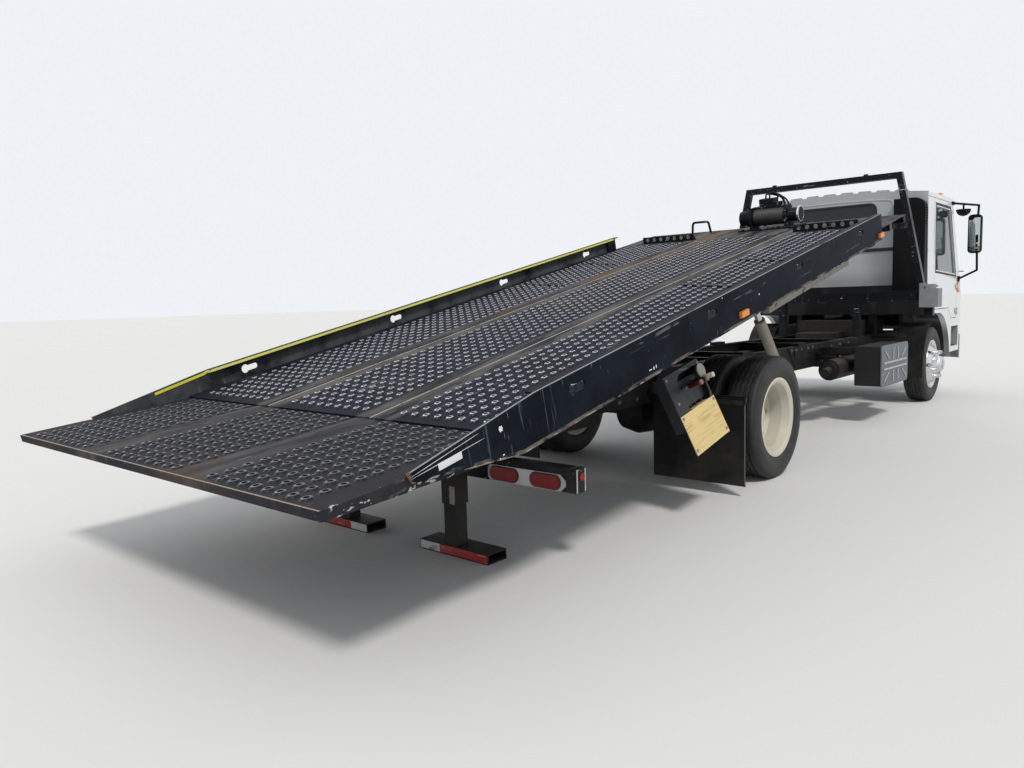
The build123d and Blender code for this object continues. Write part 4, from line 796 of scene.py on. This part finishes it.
for side, hand in sides:
    mirror = flat if hand > 0 else flipX
    shape = Shape(mirror)
    addNuts(shape, hub["cover"], 20, hub["frontX"], frontY, hub["frontCircle"])
    shape.lathe(hub["outerRing"], 64, (hub["outerX"], frontY, wheelZ))
    shape.lathe(hub["innerRing"], 48, (hub["innerX"], frontY, wheelZ))
    shape.done("hubTrim_front_" + side, "chromeRim", "front_wheel_" + side, "chrome_rim")
    shape = Shape(mirror)
    addNuts(shape, hub["stud"], 14, hub["rearX"], fromAxle(0), hub["rearCircle"])
    shape.tube([(x, fromAxle(y), wheelZ + z) for x, y, z in hub["valve"]], hub["valveRadius"])
    shape.done("hubTrim_rear_" + side, "nutSteel", "rear_wheels_" + side, "cream_rim")
print("wheels ready")

# Yellow tape on the inner face of the left side rail, given along its upper edge
tape = {"thick": 0.0014, "width": 0.015,
        "line": [(1.1802, -4.40, 0.1132), (1.1802, -0.120, 0.1132), (1.1830, -0.1085, 0.1130),
                 (1.2080, -0.1010, 0.1115), (1.2138, -0.0920, 0.1045), (1.2138, 0.215, 0.0806)]}
corners = [(-tape["thick"], -tape["width"]), (-tape["thick"], 0), (0, 0), (0, -tape["width"])]
shape = Shape(bedPlace)
shape.rings([[(x + out, b, high + down) for out, down in corners] for x, b, high in tape["line"]], caps=True)
shape.done("railTape", "yellowTape", "bed", "rail_steel")

# On the right rail's outer face: a blank plate with pale lines, scuffs, and a bright worn corner
scuff = {"face": -1.2248, "thick": 0.0006, "lineWidth": 0.0022, "wornWidth": 0.004,
         "plate": [(-1.2260, -1.2238), (0.310, 0.423), (0.018, 0.043)],
         "lines": [((0.213, 0.072), (0.547, 0.046)), ((0.191, 0.045), (0.545, 0.039))],
         "marks": [((0.092, 0.034), (0.112, 0.058)), ((0.105, -0.054), (0.114, -0.047)),
                   ((0.128, -0.060), (0.134, -0.055)), ((-0.986, -0.060), (-0.979, -0.042)),
                   ((-0.966, -0.062), (-0.957, -0.045)), ((-0.944, -0.056), (-0.918, -0.050)),
                   ((-2.160, 0.011), (-2.147, 0.021)), ((-1.704, 0.096), (-1.695, 0.103))],
         "worn": [((0.060, -0.0765), (0.150, -0.0575)), ((0.165, -0.0545), (0.314, -0.0235))],
         "taper": [(0, 0.2), (0.12, 0.9), (0.4, 0.7), (0.75, 1.0), (1, 0.15)]}


def addStreak(shape, start, end, width, slot=0):
    # a thin flat streak, tapered at its ends
    first, last = Vector((scuff["face"], *start)), Vector((scuff["face"], *end))
    side = (last - first).normalized().cross(Vector(across)) * width / 2
    out = Vector(across) * -scuff["thick"]
    rings = []
    for share, wide in scuff["taper"]:
        near, far = first.lerp(last, share) + side * wide, first.lerp(last, share) - side * wide
        rings.append([near, far, far + out, near + out])
    shape.rings(rings, True, slot, True)


shape = Shape(bedPlace).box(*scuff["plate"], 0.0005)
for start, end in scuff["lines"]:
    addStreak(shape, start, end, scuff["lineWidth"])
shape.done("railPlate", "whitePlate", "bed", "rail_steel")
shape = Shape(bedPlace)
for (start, low), (end, high) in scuff["marks"]:
    addStreak(shape, (start, (low + high) / 2), (end, (low + high) / 2), high - low)
for start, end in scuff["worn"]:
    addStreak(shape, start, end, scuff["wornWidth"], 1)
shape.done("railScuffs", "whitePlate padRust", "bed", "rail_steel")

# Dark brackets at the rails' front ends
bracket = {"x": (1.186, 1.2138), "y": (-4.44, -4.31), "z": (0.0012, 0.098), "bolts": (-4.41, -4.34)}
shape = Shape(bedPlace).pair(bracket["x"], bracket["y"], bracket["z"], 0.004)
for side, hand in sides:
    for b in bracket["bolts"]:
        shape.bolt((hand * bracket["x"][0], b, 0.05), (-hand, 0, 0), 0.010, 0.008)
shape.done("railEnds", "rackBlack", "bed", "rack_black")
print("rails ready")

# Mirror glass, the lower part a wide-angle one
mirror = {"x": (1.113, 1.222), "y": (-4.3258, -4.3226), "main": (1.684, 2.008), "wide": (1.632, 1.68)}
shape = Shape().pair(mirror["x"], mirror["y"], mirror["main"], 0.0008)
shape.pair(mirror["x"], mirror["y"], mirror["wide"], 0.0008, 1)
shape.done("mirrorGlass", "mirrorGlass mirrorWide", "cab", "black_plastic")

# Rubber round the windows, whose outlines are given a little outside the glass
window = {"side": [(-4.288, 1.408), (-4.288, 2.097), (-4.917, 2.097), (-5.2042, 1.373)],
          "front": [(-0.892, 1.333), (0.892, 1.333), (0.862, 2.142), (-0.862, 2.142)],
          "backHalf": 0.497, "backZ": (1.678, 2.147), "corner": 0.075, "back": fromAxle(-3.955),
          # how wide each rubber is, and how far it stands out
          "sideRubber": (0.02, 0.0035), "frontRubber": (0.028, 0.004), "backRubber": (0.024, 0.005)}
# the cab's sides and its front lean, and these are where they start and end
face = {"low": 1.3, "high": 2.268, "frontY": -5.445, "frontLean": 0.46, "sideLean": 0.012 / 0.915}


def cabSide(z):
    return 1.0 - face["sideLean"] * (z - face["low"])


def cabFace(x, z):
    # a point on the sloping front of the cab
    share = (z - face["low"]) / (face["high"] - face["low"])
    return Vector((x, fromAxle(face["frontY"] + share * face["frontLean"]), z))


frontFacing = Vector((0, face["low"] - face["high"], face["frontLean"])).normalized()
for side, hand in sides:
    points = [(hand * cabSide(z), fromAxle(y), z) for y, z in window["side"]][::-hand]
    shape = Shape().border(points, *window["sideRubber"], (hand, 0, face["sideLean"]))
    shape.done("windowRubber_" + side, "windowRubber", side + "_door", "black_plastic")

shape = Shape().border([cabFace(x, z) for x, z in window["front"]], *window["frontRubber"], frontFacing)
back, half, radius = window["back"], window["backHalf"], window["corner"]
low, high = window["backZ"]
outline = []
for cornerX, cornerZ, start in ((-half, low, 180), (-half, high, 90), (half, high, 0), (half, low, 270)):
    inX = cornerX - math.copysign(radius, cornerX)
    inZ = min(max(cornerZ, low + radius), high - radius)
    turns = [math.radians(start + 90 - step * 15) for step in range(7)]
    arc = [(inX + radius * math.cos(turn), back, inZ + radius * math.sin(turn)) for turn in turns]
    outline += arc
    # the panel's own corner, over the square one of the pane
    fillet = [(cornerX, back, cornerZ)] + arc
    shape.rings([[(x, y + out, z) for x, y, z in fillet] for out in (0.0004, 0.0022)], True, 1, True)
shape.border(outline, *window["backRubber"], along)
# the dark moulding across the cab's back, and the rubber round the headlamps
rearPanel = {"moulding": (1.632, 1.668), "half": 0.728, "raised": 0.006,
             "edge": [(-0.716, 1.69), (-0.706, 1.894), (-0.655, 2.110), (-0.595, 2.160), (-0.30, 2.176)]}
shape.box((-rearPanel["half"], rearPanel["half"]), (back - 0.002, back + 0.003), rearPanel["moulding"], 0.002)
lampAt = {"x": (0.629, 0.911), "z": (0.789, 0.971), "y": fromAxle(-5.500), "rubber": (0.013, 0.004),
          "bulbX": (0.707, 0.833), "bulbY": fromAxle(-5.512), "bulbZ": 0.88,
          "ring": [(-0.004, 0.058), (0.003, 0.057), (0.003, 0.052), (-0.004, 0.050)]}
for side, hand in sides:
    (x0, x1), (low, high) = span(*lampAt["x"], hand), lampAt["z"]
    corners = [(x0, low), (x1, low), (x1, high), (x0, high)]
    shape.border([(x, lampAt["y"], z) for x, z in corners], *lampAt["rubber"], (0, -1, 0))
shape.done("cabRubbers", "windowRubber whitePaint", "cab", "black_plastic")
shape = Shape()
for side, hand in sides:
    for x in lampAt["bulbX"]:
        middle = Matrix.Translation((hand * x, lampAt["bulbY"], lampAt["bulbZ"]))
        shape.place = middle @ Matrix.Rotation(-math.pi / 2, 4, "Z")
        shape.lathe(lampAt["ring"])
shape.done("lampRings", "chromeRim", "cab", "chrome_rim")
# the pressed edge over the rear window
edge = rearPanel["edge"] + [(0, 2.181)] + [(-x, z) for x, z in rearPanel["edge"][::-1]]
shape = Shape().tube([(x, back + 0.001, z) for x, z in edge], rearPanel["raised"])
shape.done("backPressing", "whitePaint", "cab", "white_paint")

# Wipers, roof lamps on their bosses, gutters, corner lamps
trim = {"wiperX": (-0.42, 0.34), "wiperZ": 1.335, "reach": 0.36, "bladeHalf": 0.33, "gutterZ": 2.172,
        "gutter": [(0, -4.93, -0.006), (0.002, -4.86, 0), (0.002, -4.3, 0), (0.002, -4.0, 0)],
        "roofY": -4.641, "roofZ": 2.222, "cornerY": (-5.375, -5.320), "cornerZ": (1.175, 1.316)}
shape = Shape()
for x in trim["wiperX"]:
    z, tipX = trim["wiperZ"], x - trim["reach"]
    base = cabFace(x, z) + frontFacing * 0.004
    tip = cabFace(tipX, z + 0.09) + frontFacing * 0.022
    shape.rod(base - frontFacing * 0.006, base + frontFacing * 0.024, 0.014, 0.011, 16, 0.002)
    shape.tube([base + frontFacing * 0.018, base.lerp(tip, 0.5) + frontFacing * 0.016, tip], 0.005)
    first = cabFace(tipX - trim["bladeHalf"] * 0.8, z + 0.075) + frontFacing * 0.010
    last = cabFace(tipX + trim["bladeHalf"], z + 0.105) + frontFacing * 0.010
    shape.tube([first, first.lerp(last, 0.5) + frontFacing * 0.008, last], 0.0055, 6)
shape.done("wipers", "blackPlastic", "cab", "black_plastic")
y, z = fromAxle(trim["roofY"]), trim["roofZ"]
shape = Shape().pair((0.925, 0.970), (y - 0.055, y + 0.055), (z - 0.02, z + 0.008), 0.006)
for side, hand in sides:
    edge = cabSide(trim["gutterZ"])
    line = [(hand * (edge + out), fromAxle(b), trim["gutterZ"] + rise) for out, b, rise in trim["gutter"]]
    shape.tube(line, 0.006)
shape.done("roofGutters", "whitePaint", "cab", "white_paint")
shape = Shape().pair((0.932, 0.964), (y - 0.046, y + 0.046), (z + 0.004, z + 0.030), 0.009)
shape.pair((0.995, 1.012), fromAxle(*trim["cornerY"]), trim["cornerZ"], 0.006)
shape.done("cabLamps", "amberLens", "cab", "amber_lens")

# Ribs on the steps and louvres in the quarter panels
rib = {"count": 6, "x": (0.80, 0.985), "from": -5.37, "pitch": 0.055, "wide": 0.018, "z": (0.558, 0.5665)}
louvre = {"count": 5, "x": (0.9985, 1.0035), "y": fromAxle(-4.16, -4.03), "from": 1.055, "pitch": 0.022,
          "high": 0.010}
shape = Shape()
for step in range(rib["count"]):
    y = rib["from"] + step * rib["pitch"]
    shape.pair(rib["x"], fromAxle(y, y + rib["wide"]), rib["z"], 0.002)
for step in range(louvre["count"]):
    z = louvre["from"] + step * louvre["pitch"]
    shape.pair(louvre["x"], louvre["y"], (z, z + louvre["high"]), 0.002)
shape.done("cabSteps", "greyPlastic", "cab", "grey_plastic")
print("cab trim ready")

# Seats as padded forms with sewn channels: one for a single place, one for two
seat = {"base": (1.008, 1.190), "cushion": (1.180, 1.300), "y": -4.270, "deep": 0.262, "top": 1.900,
        "lean": 0.14, "thick": 0.055, "crown": 0.016, "pull": 0.035, "channels": 3, "channelDeep": 0.005,
        "channelWide": 0.007, "grid": 22, "places": [(0.520, 0.250, 1), (-0.430, 0.400, 2)]}


def cushionSpot(spot, half):
    # rounds the corners of a block from -1 to 1, pulls its sides in between them and crowns its top
    length = sum(abs(part) ** 7 for part in spot) ** (1 / 7)
    a, b, c = (part / length for part in spot)
    x = a * half[0] * (1 - seat["pull"] * (1 - b ** 2))
    y = b * half[1] * (1 - seat["pull"] * (1 - a ** 2))
    z = c * half[2] - (seat["crown"] * 0.6 if c > 0 else 0)
    if c > 0.6:
        z += seat["crown"] * (1 - a ** 2) * (1 - b ** 2)
        for channel in range(seat["channels"]):
            far = (a - (channel + 0.5) / seat["channels"] * 2 + 1) * half[0] / seat["channelWide"]
            z -= seat["channelDeep"] * math.exp(-far ** 2) * (1 - b ** 6)
    return x, y, z


def addCushion(shape, half, place):
    # half is its half size along each axis
    shape.place = place
    shares = [step / seat["grid"] * 2 - 1 for step in range(seat["grid"] + 1)]
    for axis in range(3):
        for sign in (-1, 1):
            shape.rings([[cushionSpot([(sign, a, b)[(part - axis) % 3] for part in range(3)], half)
                          for b in shares] for a in shares], False)


low, high = seat["cushion"]
tall = seat["top"] - low
turnBack = Matrix.Rotation(-math.atan2(seat["lean"], tall), 4, "X") @ Matrix.Rotation(math.pi / 2, 4, "X")
y = fromAxle(seat["y"])
shape = Shape()
for middle, half, parts in seat["places"]:
    shape.place = flat
    shape.box((middle - half + 0.02, middle + half - 0.02), (y - 0.46, y), seat["base"], 0.01)
    for part in range(parts):
        width = half / parts
        x = middle - half + width * (2 * part + 1)
        addCushion(shape, (width - 0.004, seat["deep"], (high - low) / 2),
                   Matrix.Translation((x, y - 0.265, (low + high) / 2)))
        addCushion(shape, (width - 0.006, tall / 2 - 0.015, seat["thick"]),
                   Matrix.Translation((x, y + 0.005, (low + seat["top"]) / 2 + 0.01)) @ turnBack)
piece = shape.done("seatPads", "seatCloth", "cab", "seat_cloth", 60)
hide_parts("seats")
print("seats ready")

# Winch: rope wound on the drum, a ring on the motor, hydraulic pipes fixed at both ends, a clutch lever
winch = {"at": (-0.121, -5.040, 0.108), "drumHalf": 0.139, "core": 0.052, "wound": 0.074, "rope": 0.005,
         "turns": 26, "ring": [(-0.262, 0.0605), (-0.2625, 0.0735), (-0.2755, 0.0735), (-0.2775, 0.070),
                               (-0.2775, 0.064), (-0.272, 0.060)],
         # where each pipe starts across the winch, how far it runs out, and how high it starts
         "pipes": ((0.010, 0.10, 0.262), (0.045, 0.13, 0.255), (-0.060, 0.07, 0.228)),
         "pipeRadius": 0.008, "lever": [(0.185, 0.02, 0.07), (0.188, 0.04, 0.11), (0.198, 0.06, 0.125)],
         "leverRadius": 0.006, "bolts": 6, "motorCircle": 0.0748, "gearCircle": 0.073,
         "footX": (-0.24, -0.10, 0.10, 0.24), "footY": (-0.096, 0.096), "footZ": -0.094}
winchPlace = bedPlace @ Matrix.Translation(winch["at"])
half, core = winch["drumHalf"], winch["core"]
section = [(winch["rope"] * math.cos(turn), winch["rope"] * math.sin(turn)) for turn in around(8)]
shape = Shape()
for turn in range(winch["turns"]):
    x = 0.006 - half + turn * 2 * winch["rope"]
    shape.lathe([(x + a, winch["wound"] + b) for a, b in section + section[:1]])
shape.lathe([(-half, core), (0.002 - half, core + 0.022), (half - 0.002, core + 0.022), (half, core)])
shape.done("winchRope", "wireRope", "drum", "steel_bare", 40, winchPlace)
Shape(winchPlace).lathe(winch["ring"]).done("winchRing", "chromeRim", "bed", "chrome_rim")
shape = Shape(winchPlace)
for x, out, high in winch["pipes"]:
    shape.tube([(x, -0.03, high - 0.11), (x, -0.055, high - 0.06), (x - out * 0.5, -0.085, high - 0.075),
                (x - out, -0.08, high - 0.11), (x - out - 0.04, -0.05, 0.055)], winch["pipeRadius"])
motor, gear = winch["motorCircle"], winch["gearCircle"]
for turn in around(winch["bolts"], 0.5):
    shape.bolt((-0.170, motor * math.cos(turn), motor * math.sin(turn)), (-1, 0, 0), 0.008, 0.007)
    shape.bolt((0.212, gear * math.cos(turn), gear * math.sin(turn)), across, 0.007, 0.006)
for x in winch["footX"]:
    for y in winch["footY"]:
        shape.bolt((x, y, winch["footZ"]), up, 0.010, 0.010)
shape.tube(winch["lever"], winch["leverRadius"])
shape.done("winchFittings", "blackPlastic", "bed", "rack_black")
print("winch ready")

# Tail end: tape on the feet, pads on the leg tubes, strips on the lamp bar's ends, gaskets round its lamps
tail = {"foot": (0.214, 0.3478, 0.664), "footY": (2.429, 2.4308), "footZ": (0.006, 0.045),
        "padX": (0.423, 0.459), "padY": (2.424, 2.4262), "padZ": (0.255, 0.342),
        "edgeX": (1.0548, 1.0562), "edges": ((2.188, 2.196), (2.248, 2.257)), "edgeZ": (0.358, 0.464),
        "lamps": (0.634, 0.882), "lampY": 2.263, "lampZ": 0.396, "lampHalf": 0.055, "lampRadius": 0.036}
for side, hand in sides:
    inner, split, outer = tail["foot"]
    shape = Shape()
    for low, high, slot in ((inner, split, 1), (split, outer, 0)):
        shape.box(span(low, high, hand), fromAxle(*tail["footY"]), tail["footZ"], 0.0005, slot)
    shape.done("footTape_" + side, "markRed markWhite", "stabilizer_leg_" + side, "black_frame")
shape = Shape().pair(tail["padX"], fromAxle(*tail["padY"]), tail["padZ"], 0.001)
shape.done("legPads", "padRust", "chassis", "black_frame")
shape = Shape()
for low, high in tail["edges"]:
    shape.pair(tail["edgeX"], fromAxle(low, high), tail["edgeZ"], 0.0005)
shape.done("lampBarEdges", "lampAlloy", "chassis", "cover_grey")
shape = Shape()
for x in tail["lamps"] + tuple(-x for x in tail["lamps"]):
    # two half circles with a straight run between
    points = []
    for turn in around(28):
        out, rise = tail["lampRadius"] * math.cos(turn), tail["lampRadius"] * math.sin(turn)
        x0 = x + math.copysign(tail["lampHalf"], out)
        points.append((x0 + out, fromAxle(tail["lampY"]), tail["lampZ"] + rise))
    shape.border(points[::-1], 0.006, 0.004, along)
shape.done("lampGaskets", "windowRubber", "chassis", "black_plastic")

# Mud flaps: a pale worn edge and the bar and bolts that hold them
flap = {"edgeX": (1.097, 1.1006), "edgeY": (0.628, 0.6328), "edgeZ": (0.080, 0.560),
        "barX": (0.500, 1.090), "barY": (0.631, 0.636), "barZ": (0.558, 0.588),
        "bolts": (0.55, 0.67, 0.79, 0.91, 1.03), "boltZ": 0.573}
shape = Shape().pair(flap["edgeX"], fromAxle(*flap["edgeY"]), flap["edgeZ"], 0.0006)
shape.pair(flap["barX"], fromAxle(*flap["barY"]), flap["barZ"], 0.001, 1)
for x in flap["bolts"] + tuple(-x for x in flap["bolts"]):
    shape.bolt((x, fromAxle(flap["barY"][1]), flap["boltZ"]), along, 0.009, 0.007, 1)
shape.done("flapEdges", "flapEdge blackFrame", "chassis", "flap_rubber")
print("tail ready")

# Console faces: bolts at their edges, roller pins and cables in the opening
facing = {"bolts": [(-0.172, -0.02), (0.172, -0.02), (-0.172, -0.4203), (0.172, -0.4203), (0.150, -0.16),
                    (-0.172, -0.24), (0.172, -0.24)],
          "pins": (0.0205, -0.0455, -0.1115), "pinZ": -0.104, "cables": (-0.11, -0.05, 0.01)}
consolePlace = (bedPlace @ Matrix.Translation((console["topX"], console["middle"], console["topUp"]))
                @ Matrix.Rotation(-console["lean"], 4, "Y"))
shape = Shape()
for place in (consolePlace, flipX @ consolePlace):
    shape.place = place
    for b, z in facing["bolts"]:
        shape.bolt((0.009 if z < -0.22 else 0.005, b, z), across, 0.007, 0.005)
    for b in facing["pins"]:
        shape.rod((-0.012, b, facing["pinZ"]), (0.020, b, facing["pinZ"]), 0.012, 0.009, 12, 0.001)
    for b in facing["cables"]:
        line = [(-0.03, b, -0.20), (-0.034, b - 0.006, -0.245), (-0.040, b + 0.004, -0.285)]
        shape.tube(line, 0.0075, slot=1)
shape.done("consoleBolts", "bareSteel windowRubber", "tilting_frame", "rack_black")
print("consoles ready")

# A short steel pipe along each tilt cylinder, fixed at both ends
ram = {"x": 0.512, "low": (-1.310, 0.600), "high": (-0.660, 1.295), "pipe": 0.0075, "ends": (0.075, 0.525),
       # along the cylinder, and out from its middle
       "line": [(0.075, 0.040), (0.085, 0.058), (0.14, 0.061), (0.46, 0.061), (0.515, 0.058), (0.525, 0.040)]}
shape = Shape()
for side, hand in sides:
    foot, head = (Vector((hand * ram["x"], fromAxle(y), z)) for y, z in (ram["low"], ram["high"]))
    way = (head - foot).normalized()
    out = Vector((0, -way.z, way.y))
    shape.tube([foot + way * far + out * off for far, off in ram["line"]], ram["pipe"])
    for far in ram["ends"]:
        end = foot + way * far
        shape.rod(end + out * 0.036, end + out * 0.056, 0.012, sides=12, bevel=0.001)
shape.done("ramPipes", "blackPlastic", "tilt_cylinders", "rack_black")

# Frame: bolt rows on the rails, U-bolt nuts, pipes along the rails, straps on the tanks
frameWork = {"railX": 0.430, "boltZ": (0.575, 0.695),
             "bolts": (-3.30, -3.05, -2.80, -2.55, -0.95, -0.80, 0.55, 0.75, 0.95, 1.15, 1.35, 1.55),
             "upperX": 0.438, "upper": (-2.28, -2.16, -2.0, -1.88, -1.78), "upperZ": 0.715,
             "springs": (0.443, 0.537), "axleBolts": (-0.076, 0.076), "axleBoltZ": 0.312}
pipes = {"x": 0.446, "z": (0.640, 0.655), "clips": (-3.85, -3.55, -3.2, -2.9, -2.6),
         # inward from its line, along the truck, and below its line
         "line": [(0.012, -3.95, 0), (0, -3.90, 0), (0, -3.40, 0.004), (0, -2.75, 0), (0, -2.45, 0),
                  (0.012, -2.39, 0)]}
strap = {"y": (-3.05, -2.50), "half": 0.025, "thick": 0.002,
         "tank": [(0.630, 0.6815), (0.890, 0.6815), (0.9615, 0.610), (0.9615, 0.320), (0.890, 0.2485),
                  (0.630, 0.2485)]}
shape = Shape()
for side, hand in sides:
    spots = [(frameWork["railX"], y, z) for y in frameWork["bolts"] for z in frameWork["boltZ"]]
    for x, y, z in spots + [(frameWork["upperX"], y, frameWork["upperZ"]) for y in frameWork["upper"]]:
        shape.bolt((hand * x, fromAxle(y), z), (hand, 0, 0), 0.010, 0.009)
    for y in frameWork["axleBolts"]:
        for x in frameWork["springs"]:
            shape.bolt((hand * x, fromAxle(y), frameWork["axleBoltZ"]), (0, 0, -1), 0.013, 0.022)
shape.done("frameBolts", "nutSteel", "chassis", "black_frame")
shape = Shape()
for side, hand in sides:
    for height in pipes["z"]:
        line = [(hand * (pipes["x"] - inward), fromAxle(y), height - sag) for inward, y, sag in pipes["line"]]
        shape.tube(line, 0.005)
for y in pipes["clips"]:
    shape.pair((0.429, 0.453), fromAxle(y - 0.008, y + 0.008), (0.632, 0.664), 0.002)
shape.done("brakePipes", "blackPlastic", "chassis", "black_frame")
shape = Shape()
for y in fromAxle(*strap["y"]):
    for (x0, z0), (x1, z1) in zip(strap["tank"], strap["tank"][1:]):
        out = Vector((z0 - z1, 0, x1 - x0)).normalized() * strap["thick"]
        before, after = y - strap["half"], y + strap["half"]
        spots = [(x0, before, z0), (x0, after, z0), (x1, after, z1), (x1, before, z1)]
        shape.rings([spots, [Vector(spot) + out for spot in spots]], caps=True)
shape.done("tankStraps", "bareSteel", "chassis", "steel_bare")
print("frame work ready")

# Camera, where the photograph was taken from
view = {"place": (-3.070, 5.9295, 1.208), "yaw": 41.012, "pitch": 5.974, "roll": -1.655, "focal": 782.272,
        "imageWidth": 1024, "sensor": 36}
yaw, pitch, roll = (math.radians(view[key]) for key in ("yaw", "pitch", "roll"))
forward = Vector((math.sin(yaw) * math.cos(pitch), -math.cos(yaw) * math.cos(pitch), -math.sin(pitch)))
level = forward.cross(Vector(up)).normalized()
upward = level.cross(forward)
cameraX = math.cos(roll) * level + math.sin(roll) * upward
cameraY = -math.sin(roll) * level + math.cos(roll) * upward
camera = bpy.data.objects.new("camera", bpy.data.cameras.new("camera"))
camera.data.sensor_width = view["sensor"]
camera.data.lens = view["focal"] / view["imageWidth"] * view["sensor"]
camera.data.clip_end = 500
turn = Matrix((cameraX, cameraY, -forward)).transposed().to_4x4()
camera.matrix_world = Matrix.Translation(view["place"]) @ turn
bpy.context.scene.collection.objects.link(camera)
bpy.context.scene.camera = camera

# Floor, sky and lamps
stage = {"floor": (0.70, 0.70, 0.69), "half": 200, "sky": (0.86, 0.89, 0.93), "skyLight": (0.93, 0.96, 1.0),
         "skyPower": 0.62, "lampColor": (1.0, 0.97, 0.92),
         # power, size in degrees and where it shines from
         "lamps": {"sun": (1.95, 9.0, (-0.50, 0.42, 0.78)), "fill": (0.5, 60.0, (0.9, 0.3, 0.5))}}
f = Finish("studioFloor")
grain = f.noise(0.02, 4)
color = f.tint(f.noise(1.5, 3), shade(stage["floor"], 0.985), shade(stage["floor"], 1.015))
f.close({"Base Color": color, "Roughness": 0.85 + grain * 0.1}, grain, 0.0003)
floorMesh = bpy.data.meshes.new("studioFloor")
half = stage["half"]
corners = [(-half, -half, 0), (half, -half, 0), (half, half, 0), (-half, half, 0)]
floorMesh.from_pydata(corners, [], [(0, 1, 2, 3)])
floorMesh.materials.append(made["studioFloor"])
floor = bpy.data.objects.new("studioFloor", floorMesh)
floor.location.z = -0.0005
bpy.context.scene.collection.objects.link(floor)

# the sky shows pale behind the truck and in what mirrors it, and lights it less
world = bpy.data.worlds.new("studio")
bpy.context.scene.world = world
sky = Nodes(world)
seen, mirrored, through = (sky.node("ShaderNodeLightPath", out="Is %s Ray" % kind)
                           for kind in ("Camera", "Glossy", "Transmission"))
pale = sky.node("ShaderNodeBackground", {}, {"Color": stage["sky"], "Strength": 1.0})
lit = sky.node("ShaderNodeBackground", {}, {"Color": stage["skyLight"], "Strength": stage["skyPower"]})
shown = sky.higher(sky.higher(seen, mirrored), through)
mixed = sky.node("ShaderNodeMixShader", {}, {0: shown, 1: lit, 2: pale})
sky.node("ShaderNodeOutputWorld", {}, {"Surface": mixed})

for name, (power, size, source) in stage["lamps"].items():
    lamp = bpy.data.lights.new(name, "SUN")
    lamp.energy = power
    lamp.angle = math.radians(size)
    lamp.color = stage["lampColor"]
    holder = bpy.data.objects.new(name, lamp)
    holder.rotation_mode = "QUATERNION"
    holder.rotation_quaternion = Vector(source).to_track_quat("Z", "Y")
    bpy.context.scene.collection.objects.link(holder)
bpy.context.scene.view_settings.view_transform = "Standard"
print("stage ready")
